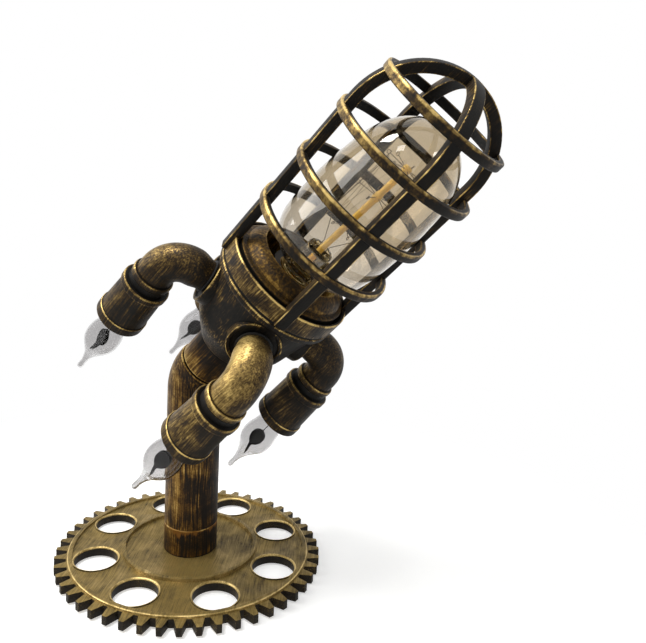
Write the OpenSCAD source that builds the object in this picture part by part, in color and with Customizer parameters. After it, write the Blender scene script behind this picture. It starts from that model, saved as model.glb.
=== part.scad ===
// Desk lamp in the form of a rocket: a gear foot, a bent pipe column, a four-way hub with
// four elbow arms that carry flame bulbs, and a guard cage round one large bulb.
// Units are millimetres. Z is up, the foot rests on Z = 0 and the rocket leans towards +X.

/* [Base] */
// Diameter over the gear's tooth tips
gear_tip_d = 200; // [190:1:220]
// Diameter at the tooth roots
gear_root_d = 183; // [180:0.5:186]
// Number of teeth
gear_teeth = 50; // [40:1:60]
// Width of a tooth at its tip
tooth_tip_w = 3.6; // [2.5:0.1:5]
// Width of a tooth at its root
tooth_root_w = 8; // [6:0.1:9]
// Turn of the teeth
tooth_turn = -1.5; // [-3.5:0.1:3.5]
// Thickness of the gear plate
gear_t = 6; // [5:0.5:10]
// Inner diameter of the raised rim ridge
rim_ridge_d = 174.8; // [174:0.1:176]
// Width of the rim ridge
rim_ridge_w = 3.6; // [2:0.1:3.6]
// Height of the rim ridge above the plate
rim_ridge_h = 1.6; // [0.5:0.1:3]
// Inner diameter of the ridge round the middle disc
disc_ridge_d = 97.6; // [90:0.2:100]
// Width of the middle ridge
disc_ridge_w = 3; // [2:0.1:4]
// Height of the middle ridge above the plate
disc_ridge_h = 2.4; // [0.5:0.1:3]
// Diameter of the round holes in the plate
hole_d = 31; // [24:0.5:32]
// Number of round holes
hole_count = 8; // [5:1:8]
// Diameter of the circle through the hole centres
hole_ring_d = 141.2; // [138:0.2:142]
// Turn of the hole pattern
hole_turn = 10.7; // [0:0.1:45]
// Width of the flat round lip at each hole
hole_lip_w = 1.5; // [0.5:0.1:1.5]
// Height of the hole lip above the plate
hole_lip_h = 0.8; // [0.4:0.1:1.5]
// Diameter of a rubber foot pad
pad_d = 14; // [8:0.5:16]
// How far a foot pad stands below the plate
pad_h = 1.5; // [1:0.1:3]
// Number of foot pads
pad_count = 4; // [3:1:4]
// Diameter of the felt pad that covers the middle of the underside
felt_d = 46; // [40:1:60]
// Thread diameter of the base screws
base_screw_d = 4; // [3:0.5:4.5]
// Head diameter of the base screws
base_screw_head_d = 8; // [7:0.5:9]
// Thickness of the base screw heads
base_screw_head_t = 2.4; // [2:0.1:3]
// Reach of the base screws into the socket
base_screw_grip = 7; // [4:0.5:7.5]
// Number of base screws
base_screw_count = 3; // [3:1:4]
// Radius of the base screw circle
base_screw_ring_r = 14; // [12.5:0.5:14.5]

/* [Column] */
// Outer diameter of the column pipe
column_d = 40.6; // [38:0.2:44]
// Wall of the column pipe
column_wall = 3; // [2.5:0.1:4]
// Height of the base socket above the plate
socket_h = 20.5; // [18:0.5:30]
// Solid floor of the base socket
socket_floor = 12; // [11:0.5:12]
// Width of the wire way through the socket floor
wire_way_d = 12; // [8:0.5:14]
// Depth of the column's spigot in the socket
column_spigot = 8; // [6:0.5:10]
// Wall of the column's spigot
column_spigot_wall = 2; // [1.5:0.1:2]
// Height of the corner where column axis and rocket axis meet
corner_z = 142; // [130:1:160]
// Centreline radius of the column's bend
bend_r = 24; // [23:1:30]
// How much the bending draws in the pipe's radius in the bend
bend_slim = 0.1; // [0.05:0.01:0.3]
// Elevation of the rocket axis above the horizontal
head_tilt = 45; // [40:1:50]
// Length of the column's straight end above the bend
column_leg = 3.6; // [3.5:0.1:10]
// Bore of the cord inlet
inlet_d = 6.4; // [5:0.1:7]
// Flange diameter of the inlet grommet
grommet_flange_d = 11.5; // [10:0.5:11.5]
// Flange thickness of the inlet grommet
grommet_flange_t = 2; // [1:0.1:3]
// Diameter of the grommet's hole in the socket wall
grommet_hole_d = 9; // [8:0.1:9.5]

/* [Neck and hub] */
// How much slimmer in radius the neck sleeve is than the column
sleeve_step = 1; // [0.6:0.1:2]
// Wall of the neck sleeve
sleeve_wall = 3; // [2:0.1:3.5]
// Length of the sleeve that shows between column and hub
neck_len = 28.5; // [24:0.5:36]
// Depth of the sleeve's spigots in column and hub
sleeve_spigot = 3; // [2:0.1:3.5]
// Wall that the sleeve's spigots leave
sleeve_spigot_wall = 1.5; // [1.2:0.1:1.5]
// Height of the hub along the rocket axis
hub_h = 63; // [60:0.5:70]
// How far the hub's lower edge stands outside the sleeve
hub_foot_lip = 3.2; // [2:0.1:5]
// How much the hub's radius shrinks from its shoulder to its waist
hub_taper = 6.5; // [5:0.1:7]
// Height of the hub's lower cone
hub_cone_h = 18; // [16:0.5:20]
// How far the hub's lip stands out from its shoulder
hub_lip_w = 4; // [2:0.1:5]
// Height of the hub's top lip
hub_lip_h = 4; // [3:0.5:6]
// Height of the flare under the hub's lip
hub_flare_h = 2; // [1:0.5:4]
// Diameter of the wire chamber in the hub
chamber_d = 46; // [45:0.5:48]
// Diameter of the wire holes from the chamber to the arms
branch_wire_d = 8; // [6:0.5:9]
// Diameter of the lampholder chamber above it
holder_bay_d = 66; // [64:0.5:68]
// Diameter of the round bosses that take the arms
boss_d = 37; // [34:0.5:42]
// How far the boss faces lie inside the hub's shoulder
boss_inset = 0.5; // [0:0.1:1]
// Depth of the arm axes below the hub's top
branch_drop = 25; // [24:0.5:26]
// Turn of the arms and the cage straps about the rocket axis
head_turn = 42; // [30:1:60]

/* [Arms] */
// Outer diameter of the elbow pipe
arm_d = 26.7; // [24:0.1:28]
// Outer diameter of the elbow where it meets the hub
arm_neck_d = 22; // [21:0.5:25]
// Wire bore of the elbow
arm_bore_d = 11; // [8:0.5:12]
// Distance from the boss faces to the cup axis
arm_run = 29.5; // [28:0.5:36]
// Centreline radius of the elbow's bend
elbow_r = 18; // [16:0.5:20]
// Straight length of the elbow between its bend and its bead
arm_leg = 4; // [1:0.5:6]
// Diameter of the elbow's spigot in the hub
spigot_d = 19; // [17:0.5:20]
// Depth of the elbow's spigot in the hub
spigot_len = 9.5; // [8:0.5:10]
// Thickness of the friction washer at the boss
washer_t = 0.8; // [0.5:0.1:1.5]
// Outer diameter of the friction washer
washer_d = 25; // [23:0.5:26]
// Diameter of the bead at the elbow's end
bead_d = 30.5; // [29:0.1:33]
// Width of the bead
bead_w = 5; // [4:0.5:6]
// Swivel of each arm about its own axis as it stands: right, rear, left, front
arm_swivel = [-5, 1.5, -2, -1]; // [-6:0.5:6]
// Depth of the cup's spigot in the elbow
cup_spigot = 8; // [5:0.5:8]
// Diameter of the cup's spigot
cup_spigot_d = 18; // [16:0.5:19]
// Length of the dark groove above the cup's top ring
cup_groove_w = 5; // [3:0.5:6]
// Diameter in that groove
cup_groove_d = 29; // [28:0.5:30]
// How far the cup's top ring stands out from the body
cup_ring_out = 1.2; // [0.6:0.1:2]
// Width of the cup's top ring
cup_ring_w = 5; // [4:0.5:6]
// How much the cup's body narrows in radius from the mouth band to the ring
cup_taper = 1.2; // [0.6:0.1:1.5]
// Wall of the cup at its mouth
cup_wall = 0.8; // [0.8:0.1:1.5]
// Length of the cup's tapered body with its band
cup_body_len = 33.5; // [32:0.5:50]
// How far the mouth band stands out from the body
cup_band_out = 0.8; // [0.4:0.1:1.5]
// Width of the mouth band
cup_band_w = 7; // [5:0.5:9]
// Thickness of the cup's closed end
cup_end_t = 11; // [10.5:0.5:20]
// Wall of the cup at its closed end
cup_end_wall = 2.5; // [1.8:0.1:3]
// Radial gap between a flame bulb and the cup's mouth
cup_gap = 3.9; // [3.4:0.1:4.4]

/* [Cage] */
// Free width between the bulb and the inner faces of the full hoops
cage_gap = 9.5; // [8:0.1:12]
// Radial thickness of a hoop
hoop_t = 4.4; // [3.6:0.1:5]
// Width of a hoop along the axis
hoop_w = 6; // [4:0.5:8]
// Distance from the hub's top to the first hoop's middle
hoop_first = 47.7; // [42:0.1:52]
// Spacing of the full hoops
hoop_gap = 36.8; // [34:0.1:38]
// Distance from the third hoop to the nose hoop
nose_hoop_gap = 32.5; // [28:0.5:34]
// Distance from the third hoop to the centre of the nose
nose_start = 8; // [6:0.5:12]
// How far the full hoops stand outside the straps
hoop_proud = 1.4; // [0.5:0.1:2]
// Width of a strap
strap_w = 8; // [6:0.5:9]
// Radial depth of a strap
strap_t = 6.8; // [6:0.1:6.8]
// Height of the collar band above its seat
collar_h = 14.5; // [12:0.5:16]
// How far the straps stand outside the collar band
strap_lap = 3; // [2.5:0.1:4]
// Wall of the collar band
collar_wall = 2; // [1.8:0.1:2.2]
// Height of the groove at the collar's foot
collar_groove_h = 2; // [1:0.5:4]
// Depth of the groove at the collar's foot
collar_groove_t = 0.8; // [0.5:0.1:1]

/* [Lampholder] */
// Depth of the bracket's seat below the hub's top
holder_bay_h = 20; // [19:0.5:21]
// Thickness of the bracket plate
bracket_t = 3; // [2:0.5:4]
// Radius of the bracket screw circle
bracket_screw_r = 28; // [27.5:0.1:28.5]
// Thread diameter of the bracket screws
bracket_screw_d = 3; // [2.5:0.5:3.5]
// Head diameter of the bracket screws
bracket_screw_head_d = 6; // [5:0.5:7]
// Head thickness of the bracket screws
bracket_screw_head_t = 2; // [1.5:0.1:2.5]
// Reach of the bracket screws into the hub
bracket_screw_grip = 8; // [6:0.5:9]
// Diameter of the wire hole in the bracket
bracket_hole_d = 12; // [8:0.5:16]
// Sag of lampholder and bulb below the rocket axis
bulb_sag = 3; // [0:0.5:3.5]
// Diameter of the lampholder body
holder_d = 38; // [36:0.5:40]
// Length of the lampholder body
holder_len = 34; // [32:0.5:36]
// Thread diameter of the large screw cap
cap_d = 26.4; // [26:0.1:27]
// Wall of the threaded shell in the lampholder
shell_wall = 0.8; // [0.5:0.1:1.2]
// Thickness of the centre contact
contact_t = 1.2; // [0.8:0.1:2]
// Diameter of the centre contact
contact_d = 10; // [8:0.5:12]
// Radial gap between the holder cap's skirt and the collar
holder_cap_gap = 2.5; // [2.2:0.1:2.7]
// Wall of the holder cap
holder_cap_wall = 1.6; // [1.2:0.1:2]
// Height of the holder cap's skirt
holder_cap_skirt_h = 17; // [15:0.5:18]
// Height of the holder cap's dome
holder_cap_dome_h = 9; // [7:0.5:10]
// Diameter of the holder cap's opening
holder_cap_open_d = 61; // [60:0.5:64]
// Width of the flat shoulder round the holder cap's opening
holder_cap_flat = 4; // [2:0.5:6]

/* [Main bulb] */
// Greatest diameter of the bulb
bulb_d = 75; // [70:0.5:76]
// Length of the glass above the screw cap
bulb_len = 132; // [128:0.5:136]
// Wall of the bulb's glass
bulb_wall = 1; // [0.7:0.1:1.5]
// Diameter of the bulb's neck at the screw cap
bulb_neck_d = 26; // [24:0.2:26.4]
// Height at which the bulb's neck has swelled to its side
bulb_swell_h = 26; // [22:0.5:30]
// Length of the bulb's round top
bulb_top_h = 44; // [40:0.5:50]
// How much narrower the bulb is where its side meets swell and top
bulb_side_in = 2; // [1:0.1:3]
// Length of the screw cap
cap_len = 24; // [22:0.5:25]
// Height of the glass press above the screw cap
press_h = 24; // [20:0.5:28]
// Diameter of the glass stem rod
stem_d = 5; // [4:0.2:7]
// Length of the glass stem rod
stem_len = 78; // [70:1:84]
// Diameter of the support wires
wire_d = 1; // [0.8:0.1:1.4]
// Diameter of the filament
filament_d = 0.7; // [0.4:0.1:0.7]
// Number of filament supports in each star
support_count = 6; // [4:1:8]
// Reach of the filament supports from the stem axis
support_reach = 15; // [12:0.5:18]
// Thickness of the stem's glass flare
flare_t = 1.5; // [1:0.1:2]

/* [Wiring] */
// Diameter of the flex inside the column
flex_d = 5; // [4:0.5:6]
// Length of the terminal block
block_l = 40; // [36:0.5:41]
// Width of the terminal block
block_w = 14; // [12:0.5:15]
// Height of the terminal block
block_h = 12; // [10:0.5:13]
// Diameter of the wire holes in the terminal block
block_hole_d = 5; // [3:0.5:6]

/* [Flame bulbs] */
// Greatest diameter of a flame bulb
flame_d = 26; // [25:0.2:27]
// Length of a flame bulb's glass above its screw cap
flame_len = 77; // [74:0.5:80]
// Wall of a flame bulb's glass
flame_wall = 0.8; // [0.6:0.1:1.2]
// Diameter of the drawn-out tail tip
flame_tip_d = 4.6; // [3.5:0.1:5.5]
// Length of the straight tail tip
flame_tip_h = 7; // [5:0.5:8]
// How far a flame bulb's neck is set in from its screw cap
flame_neck_in = 0.6; // [0.4:0.1:1]
// Height at which a flame bulb's neck has swelled to its belly
flame_swell_h = 28; // [26:0.5:30]
// Length of a flame bulb's taper with its tail
flame_tail_h = 29.5; // [28:0.5:31]
// How much narrower a flame bulb is where its belly meets the swell
flame_side_in = 1.4; // [1:0.1:2]
// Thread diameter of the small screw cap
small_cap_d = 12; // [11.6:0.1:13]
// Length of the small screw cap
small_cap_len = 14; // [12:0.5:15]
// Diameter of the small lampholder
small_holder_d = 22; // [20:0.5:24]
// Diameter of the small centre contact
small_contact_d = 8; // [6:0.5:10]
// Length of the small lampholder
small_holder_len = 20; // [18:0.5:22]
// Height of the glass press in a flame bulb
flame_press_h = 9; // [7:0.5:10]
// Length of the wires between the press and the flame plates
plate_rise = 22; // [20:0.5:23]
// Turn of the flame plates in their bulb, right, rear, left and front
plate_turn = [30, -70, 62, -63]; // [-90:1:90]
// Thickness of a flame plate
plate_t = 0.7; // [0.5:0.1:1]
// Gap between the two flame plates
plate_gap = 1.4; // [1:0.1:2]
// Length of a flame plate
plate_len = 26.5; // [24:0.5:27]
// Width of a flame plate
plate_w = 11.5; // [10:0.5:12]
// Width of a flame plate at its foot
plate_foot_w = 1.2; // [1:0.1:2]
// Width of a flame plate where its tail begins
plate_waist_w = 3.2; // [2:0.1:4]
// Width of the tail's tip
plate_tip_w = 0.8; // [0.6:0.1:1.2]
// How far the tail's tip leans to the side
plate_lean = 2.4; // [1:0.1:2.6]
// Height at which a flame plate's tail begins
plate_waist_h = 15; // [12:0.5:16]

/* [Fits] */
// Radial gap of parts that are pushed together and stay
push_gap = 0.1; // [0.05:0.01:0.2]
// Radial running gap of the arm spigots in the hub
swivel_gap = 0.06; // [0.03:0.01:0.1]
// Radial gap of the screw caps in their threads
thread_gap = 0.3; // [0.2:0.05:0.4]
// Gap between parts that turn or lift past each other
move_gap = 0.3; // [0.2:0.05:0.5]

/* [Hidden] */
$fn = 64;
ARMS = ["right", "rear", "left", "front"];
bronze = "#6e5831";
dark_bronze = "#2a241d";
brass = "#b89a55";
clear_glass = [0.85, 0.87, 0.88, 0.35];
amber_glass = [0.80, 0.62, 0.35, 0.40];
// Overlap that keeps cutting tools clear of the faces they cut
cut = 1;

plate_z = pad_h;
sleeve_d = column_d - 2 * sleeve_step;
hub_foot_d = sleeve_d + 2 * hub_foot_lip;
cage_d = bulb_d + 2 * (cage_gap + hoop_t);
strap_out_r = cage_d / 2 - hoop_proud;
strap_in_r = strap_out_r - strap_t;
hoop_in_r = cage_d / 2 - hoop_t;
collar_d = 2 * (strap_out_r - strap_lap);
holder_cap_d = collar_d - 2 * (collar_wall + holder_cap_gap);
// The collar stands flush on the hub's lip
hub_lip_d = collar_d;
hub_shoulder_d = hub_lip_d - 2 * hub_lip_w;
hub_waist_d = hub_shoulder_d - 2 * hub_taper;
boss_reach = hub_shoulder_d / 2 - boss_inset;
arm_reach = boss_reach + arm_run;
flame_belly_h = flame_len - flame_swell_h - flame_tail_h;
cup_mouth_d = flame_d + 2 * cup_gap;
cup_low_d = cup_mouth_d + 2 * cup_wall;
cup_top_d = cup_low_d - 2 * cup_taper;
cup_ring_d = cup_top_d + 2 * cup_ring_out;
cup_band_d = cup_low_d + 2 * cup_band_out;
cup_hollow_d = cup_top_d - 2 * cup_end_wall;
plate_top = plate_z + gear_t;
socket_top = plate_top + socket_h;
column_foot = socket_top - column_spigot;
bend_leg = bend_r * tan((90 - head_tilt) / 2);
column_end = bend_leg + column_leg;
hub_t = column_end + neck_len;
hub_top = hub_t + hub_h;
branch_t = hub_top - branch_drop;
seat_t = hub_top - holder_bay_h;
nose_t = hub_top + hoop_first + 2 * hoop_gap + nose_start;
nose_hoop_t = hub_top + hoop_first + 2 * hoop_gap + nose_hoop_gap;
// Radius of the straps' outer face at the nose hoop
nose_hoop_r = sqrt(strap_out_r ^ 2 - (nose_hoop_t - nose_t) ^ 2);
shoulder_x = boss_reach + washer_t + move_gap;
bend_x = arm_reach - elbow_r;
bead_z = elbow_r + arm_leg;
elbow_end = bead_z + bead_w;
cup_ring_z = elbow_end + cup_groove_w;
cup_body_z = cup_ring_z + cup_ring_w;
cup_band_z = cup_body_z + cup_body_len - cup_band_w;
cup_mouth_z = cup_band_z + cup_band_w;
cup_floor_z = elbow_end + cup_end_t;
// The small lampholder stands on the cup's floor, and the bulb's rim on the lampholder
small_rim_z = cup_floor_z + small_holder_len + move_gap;
small_contact_z = small_rim_z - small_cap_len - move_gap - contact_t;
// The large bulb's rim stands above the lampholder body by the running gap
bulb_rim_z = bracket_t + holder_len + move_gap;
contact_z = bulb_rim_z - cap_len - move_gap - contact_t;
shell_r = cap_d / 2 + thread_gap + shell_wall;
flame_neck_r = small_cap_d / 2 - flame_neck_in;
sleeve_spigot_r = sleeve_d / 2 - sleeve_spigot_wall;

// Puts children in the rocket's own frame: Z runs up the rocket axis from the bend's corner.
module on_rocket() {
    translate([0, 0, corner_z])
        rotate([0, 90 - head_tilt, 0])
            children();
}

// Frame of one arm: X runs out along the branch, -Z towards the cup's mouth.
module on_arm(k) {
    on_rocket()
        translate([0, 0, branch_t])
            rotate([0, 0, head_turn + 90 * k])
                rotate([arm_swivel[k], 0, 0])
                    children();
}

// Frame of one cup: Z runs from the branch axis out along the cup and its bulb.
module on_cup(k) {
    on_arm(k)
        translate([arm_reach, 0, 0])
            rotate([180, 0, 0])
                children();
}

// Frame of the lampholder and bulb, which sag a little from the rocket axis.
module on_bulb() {
    on_rocket()
        translate([0, 0, seat_t])
            rotate([0, bulb_sag, 0])
                children();
}

// Tube along Z.
module tube(r_out, r_in, z0, z1) {
    translate([0, 0, z0])
        difference() {
            cylinder(r = r_out, h = z1 - z0);
            translate([0, 0, -cut])
                cylinder(r = r_in, h = z1 - z0 + 2 * cut);
        }
}

// Ring of square section with rounded outer corners, as a bead or a ridge.
module bead(r_in, r_out, z0, w) {
    corner = min(w / 3, (r_out - r_in) / 2);
    rotate_extrude()
        polygon(concat(
            [[r_in, z0], [r_out - corner, z0]],
            [for (a = [-60 : 30 : 60]) [r_out - corner + corner * cos(a), z0 + w / 2
                + (w / 2 - corner) * sign(a) + corner * sin(a)]],
            [[r_out - corner, z0 + w], [r_in, z0 + w]]));
}

// Points of a cubic curve through p[0] and p[3], steered by p[1] and p[2], without its last point.
function curve(p, n) = [for (i = [0 : n - 1]) let (s = i / n, q = 1 - s)
    q ^ 3 * p[0] + 3 * q ^ 2 * s * p[1] + 3 * q * s ^ 2 * p[2] + s ^ 3 * p[3]];

// Outline of the gear: four points a tooth.
function gear_outline() = [for (i = [0 : gear_teeth - 1], c = [
    [gear_root_d / 2, -tooth_root_w / 2], [gear_tip_d / 2, -tooth_tip_w / 2],
    [gear_tip_d / 2, tooth_tip_w / 2], [gear_root_d / 2, tooth_root_w / 2]])
    let (turn = tooth_turn + 360 * i / gear_teeth)
    [c[0] * cos(turn) - c[1] * sin(turn), c[0] * sin(turn) + c[1] * cos(turn)]];

// Flat ridge of inner diameter d that stands on the plate.
module ridge(d, w, h) {
    tube(d / 2 + w, d / 2, plate_top - cut, plate_top + h);
}

module base_gear() {
    color(bronze)
        difference() {
            union() {
                translate([0, 0, plate_z])
                    linear_extrude(gear_t)
                        polygon(gear_outline());
                bead(rim_ridge_d / 2, rim_ridge_d / 2 + rim_ridge_w, plate_top - cut, rim_ridge_h + cut);
                ridge(rim_ridge_d, rim_ridge_w / 2, rim_ridge_h);
                ridge(disc_ridge_d, disc_ridge_w, disc_ridge_h);
                for (i = [0 : hole_count - 1])
                    rotate([0, 0, hole_turn + 360 * i / hole_count])
                        translate([hole_ring_d / 2, 0, 0])
                            ridge(hole_d, hole_lip_w, hole_lip_h);
            }
            for (i = [0 : hole_count - 1])
                rotate([0, 0, hole_turn + 360 * i / hole_count])
                    translate([hole_ring_d / 2, 0, -cut])
                        cylinder(d = hole_d, h = plate_top + 2 * cut);
            translate([0, 0, -cut])
                cylinder(d = wire_way_d, h = plate_top + 2 * cut);
            base_screw_holes();
        }
}

// Places of the base screws, the first two either side of the cord inlet.
module base_screw_places() {
    for (i = [0 : base_screw_count - 1])
        rotate([0, 0, 180 + (2 * i + 1) * 180 / base_screw_count])
            translate([base_screw_ring_r, 0, plate_z])
                children();
}

// Clearance holes and counterbores in the plate.
module base_screw_holes() {
    base_screw_places() {
        translate([0, 0, -cut])
            cylinder(d = base_screw_d + 2 * push_gap, h = gear_t + 2 * cut);
        translate([0, 0, -cut])
            cylinder(d = base_screw_head_d + 2 * push_gap, h = base_screw_head_t + cut);
    }
}

module base_screws() {
    color("silver")
        base_screw_places() {
            cylinder(d = base_screw_head_d, h = base_screw_head_t);
            cylinder(d = base_screw_d, h = gear_t + base_screw_grip);
        }
}

module foot_pads() {
    color("#1c1c1c")
        for (i = [0 : pad_count - 1])
            rotate([0, 0, hole_turn + 360 / hole_count * (0.5 + round(i * hole_count / pad_count))])
                translate([hole_ring_d / 2, 0, 0])
                    cylinder(d = pad_d, h = pad_h);
}

module base_felt() {
    color("#3a3632")
        cylinder(d = felt_d, h = pad_h);
}

module base_socket() {
    color(bronze)
        difference() {
            translate([0, 0, plate_top])
                cylinder(d = column_d, h = socket_h);
            translate([0, 0, column_foot])
                cylinder(r = column_d / 2 - column_spigot_wall + push_gap, h = column_spigot + cut);
            translate([0, 0, plate_top + socket_floor])
                cylinder(r = column_d / 2 - column_wall - column_spigot_wall, h = socket_h);
            translate([0, 0, plate_top - cut])
                cylinder(d = wire_way_d, h = socket_h);
            base_screw_places()
                cylinder(d = base_screw_d + 2 * push_gap, h = gear_t + base_screw_grip + cut);
            inlet_axis()
                translate([0, 0, -cut])
                    cylinder(d = grommet_hole_d, h = column_d / 2 + cut);
        }
}

// Axis of the cord inlet: Z runs out towards the back of the socket.
module inlet_axis() {
    translate([0, 0, plate_top + socket_floor / 2])
        rotate([0, -90, 0])
            children();
}

module cord_grommet() {
    color("#1c1c1c")
        inlet_axis()
            difference() {
                union() {
                    translate([0, 0, wire_way_d / 2 + cut])
                        cylinder(d = grommet_hole_d - 2 * push_gap,
                                 h = column_d / 2 - wire_way_d / 2 - cut);
                    translate([0, 0, column_d / 2])
                        cylinder(d = grommet_flange_d, h = grommet_flange_t);
                }
                cylinder(d = inlet_d, h = column_d);
            }
}

// Solid run of the column: upright, bend and the short leg along the rocket axis.
module column_run(r, z0, extra) {
    translate([bend_r, 0, corner_z - bend_leg])
        rotate([90, 0, 0]) {
            rotate([0, 0, 90 + head_tilt])
                rotate_extrude(angle = 90 - head_tilt)
                    translate([bend_r, 0])
                        circle(r = r - bend_slim);
            translate([-bend_r, 0, 0])
                rotate([90, 0, 0])
                    cylinder(r = r, h = corner_z - bend_leg - z0);
            rotate([0, 0, head_tilt - 90])
                translate([-bend_r, 0, 0])
                    rotate([-90, 0, 0])
                        cylinder(r = r, h = column_leg + extra);
        }
}

module column_pipe() {
    color(bronze)
        difference() {
            union() {
                column_run(column_d / 2, socket_top, 0);
                translate([0, 0, column_foot])
                    cylinder(r = column_d / 2 - column_spigot_wall, h = column_spigot + cut);
            }
            column_run(column_d / 2 - column_wall - column_spigot_wall, column_foot - cut, cut);
            on_rocket()
                translate([0, 0, column_end - sleeve_spigot])
                    cylinder(r = sleeve_spigot_r + push_gap, h = sleeve_spigot + cut);
        }
}

module neck_sleeve() {
    color(bronze)
        on_rocket()
            difference() {
                union() {
                    translate([0, 0, column_end])
                        cylinder(d = sleeve_d, h = neck_len);
                    translate([0, 0, column_end - sleeve_spigot])
                        cylinder(r = sleeve_spigot_r, h = neck_len + 2 * sleeve_spigot);
                }
                translate([0, 0, column_end - sleeve_spigot - cut])
                    cylinder(r = sleeve_spigot_r - sleeve_wall,
                             h = neck_len + 2 * (sleeve_spigot + cut));
            }
}

module hub() {
    color(bronze)
        on_rocket()
            difference() {
                union() {
                    rotate_extrude()
                        polygon([[0, hub_t], [hub_foot_d / 2, hub_t],
                                 [hub_waist_d / 2, hub_t + hub_cone_h],
                                 [hub_shoulder_d / 2, hub_top - hub_lip_h - hub_flare_h],
                                 [hub_lip_d / 2, hub_top - hub_lip_h],
                                 [hub_lip_d / 2, hub_top], [0, hub_top]]);
                    branch_axes()
                        cylinder(d = boss_d, h = boss_reach);
                }
                translate([0, 0, hub_t - cut])
                    cylinder(r = sleeve_spigot_r + push_gap, h = sleeve_spigot + cut);
                translate([0, 0, hub_t])
                    cylinder(r = sleeve_spigot_r - sleeve_wall, h = hub_h);
                translate([0, 0, hub_t + hub_cone_h])
                    cylinder(d = chamber_d, h = hub_h);
                translate([0, 0, seat_t])
                    cylinder(d = holder_bay_d, h = hub_h);
                branch_axes() {
                    cylinder(d = branch_wire_d, h = boss_reach);
                    translate([0, 0, shoulder_x - spigot_len - move_gap])
                        cylinder(r = spigot_d / 2 + swivel_gap, h = boss_reach);
                }
                bracket_screw_places()
                    translate([0, 0, -bracket_screw_grip - cut])
                        cylinder(d = bracket_screw_d + 2 * push_gap, h = bracket_screw_grip + 2 * cut);
            }
}

// Axes of the four branches: Z runs out of each boss.
module branch_axes() {
    for (k = [0 : 3])
        translate([0, 0, branch_t])
            rotate([0, 0, head_turn + 90 * k])
                rotate([0, 90, 0])
                    children();
}

module arm_washers() {
    color("#1c1c1c")
        on_rocket()
            branch_axes()
                tube(washer_d / 2, spigot_d / 2 + move_gap, boss_reach, boss_reach + washer_t);
}

module terminal_block() {
    color("#d8d4c8")
        on_rocket()
            translate([0, 0, hub_t + hub_cone_h])
                difference() {
                    translate([-block_l / 2, -block_w / 2, 0])
                        cube([block_l, block_w, block_h]);
                    for (i = [-1 : 1])
                        translate([i * block_l / 4, 0, block_h / 2])
                            rotate([90, 0, 0])
                                cylinder(d = block_hole_d, h = 2 * block_w, center = true);
                }
}

// The flex inside the column, from the inlet's height up to the terminal block.
module lamp_flex() {
    color("#202020")
        column_run(flex_d / 2, plate_top + socket_floor / 2, neck_len + hub_cone_h);
}

module bracket_screw_places() {
    for (side = [45, 225])
        rotate([0, 0, head_turn + side])
            translate([bracket_screw_r, 0, seat_t])
                children();
}

module holder_bracket() {
    color("silver")
        on_rocket()
            difference() {
                translate([0, 0, seat_t])
                    cylinder(r = holder_bay_d / 2 - push_gap, h = bracket_t);
                translate([0, 0, seat_t - cut])
                    cylinder(d = bracket_hole_d, h = bracket_t + 2 * cut);
                bracket_screw_places()
                    translate([0, 0, -cut])
                        cylinder(d = bracket_screw_d + 2 * push_gap, h = bracket_t + 2 * cut);
            }
}

module bracket_screws() {
    color("silver")
        on_rocket()
            bracket_screw_places() {
                translate([0, 0, -bracket_screw_grip])
                    cylinder(d = bracket_screw_d, h = bracket_screw_grip + bracket_t + cut);
                translate([0, 0, bracket_t])
                    cylinder(d = bracket_screw_head_d, h = bracket_screw_head_t);
            }
}

module holder_body() {
    color("#17140f")
        difference() {
            on_bulb()
                difference() {
                    cylinder(d = holder_d, h = bracket_t + holder_len);
                    translate([0, 0, contact_z])
                        cylinder(r = shell_r + push_gap, h = holder_len);
                }
            on_rocket()
                translate([0, 0, seat_t - holder_d])
                    cylinder(r = holder_d, h = holder_d + bracket_t);
        }
}

module holder_shell() {
    color(brass)
        on_bulb()
            tube(shell_r, cap_d / 2 + thread_gap, contact_z, bracket_t + holder_len - cut);
}

module holder_contact() {
    color(brass)
        on_bulb()
            translate([0, 0, contact_z])
                cylinder(d = contact_d, h = contact_t);
}

// Outline of the holder cap, set in by w: skirt, domed shoulder and the edge of the opening.
function holder_cap_line(w) = let (r = holder_cap_d / 2 - w, o = holder_cap_open_d / 2,
    z = holder_cap_skirt_h, top = z + holder_cap_dome_h - w) concat([[r, 0]],
    curve([[r, z], [r, top - holder_cap_wall], [o + holder_cap_flat, top], [o, top]], 10), [[o, top]]);

// Shallow domed cover over the lampholder, with the bulb's neck in its opening.
module holder_cap() {
    inner = holder_cap_line(holder_cap_wall);
    color(bronze)
        on_rocket()
            translate([0, 0, hub_top])
                rotate_extrude()
                    polygon(concat(holder_cap_line(0), [for (i = [len(inner) - 1 : -1 : 0]) inner[i]]));
}

// Collar band of the cage, which stands on the hub's top face round the holder cap.
module cage_collar() {
    r = collar_d / 2;
    color(bronze)
        on_rocket()
            translate([0, 0, hub_top])
                rotate_extrude()
                    polygon([[r - collar_wall, 0], [r - collar_groove_t, 0],
                             [r - collar_groove_t, collar_groove_h], [r, collar_groove_h],
                             [r, collar_h], [r - collar_wall, collar_h]]);
}

function hoop_t_at(i) = hub_top + hoop_first + hoop_gap * i;

// Full hoop number i, from 0 at the collar end.
module cage_hoop(i) {
    color(bronze)
        on_rocket()
            tube(cage_d / 2, hoop_in_r, hoop_t_at(i) - hoop_w / 2, hoop_t_at(i) + hoop_w / 2);
}

// Smaller hoop on the nose, let halfway into the straps.
module cage_hoop_nose() {
    r = nose_hoop_r + hoop_proud;
    color(bronze)
        on_rocket()
            tube(r, r - hoop_t, nose_hoop_t - hoop_w / 2, nose_hoop_t + hoop_w / 2);
}

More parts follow.
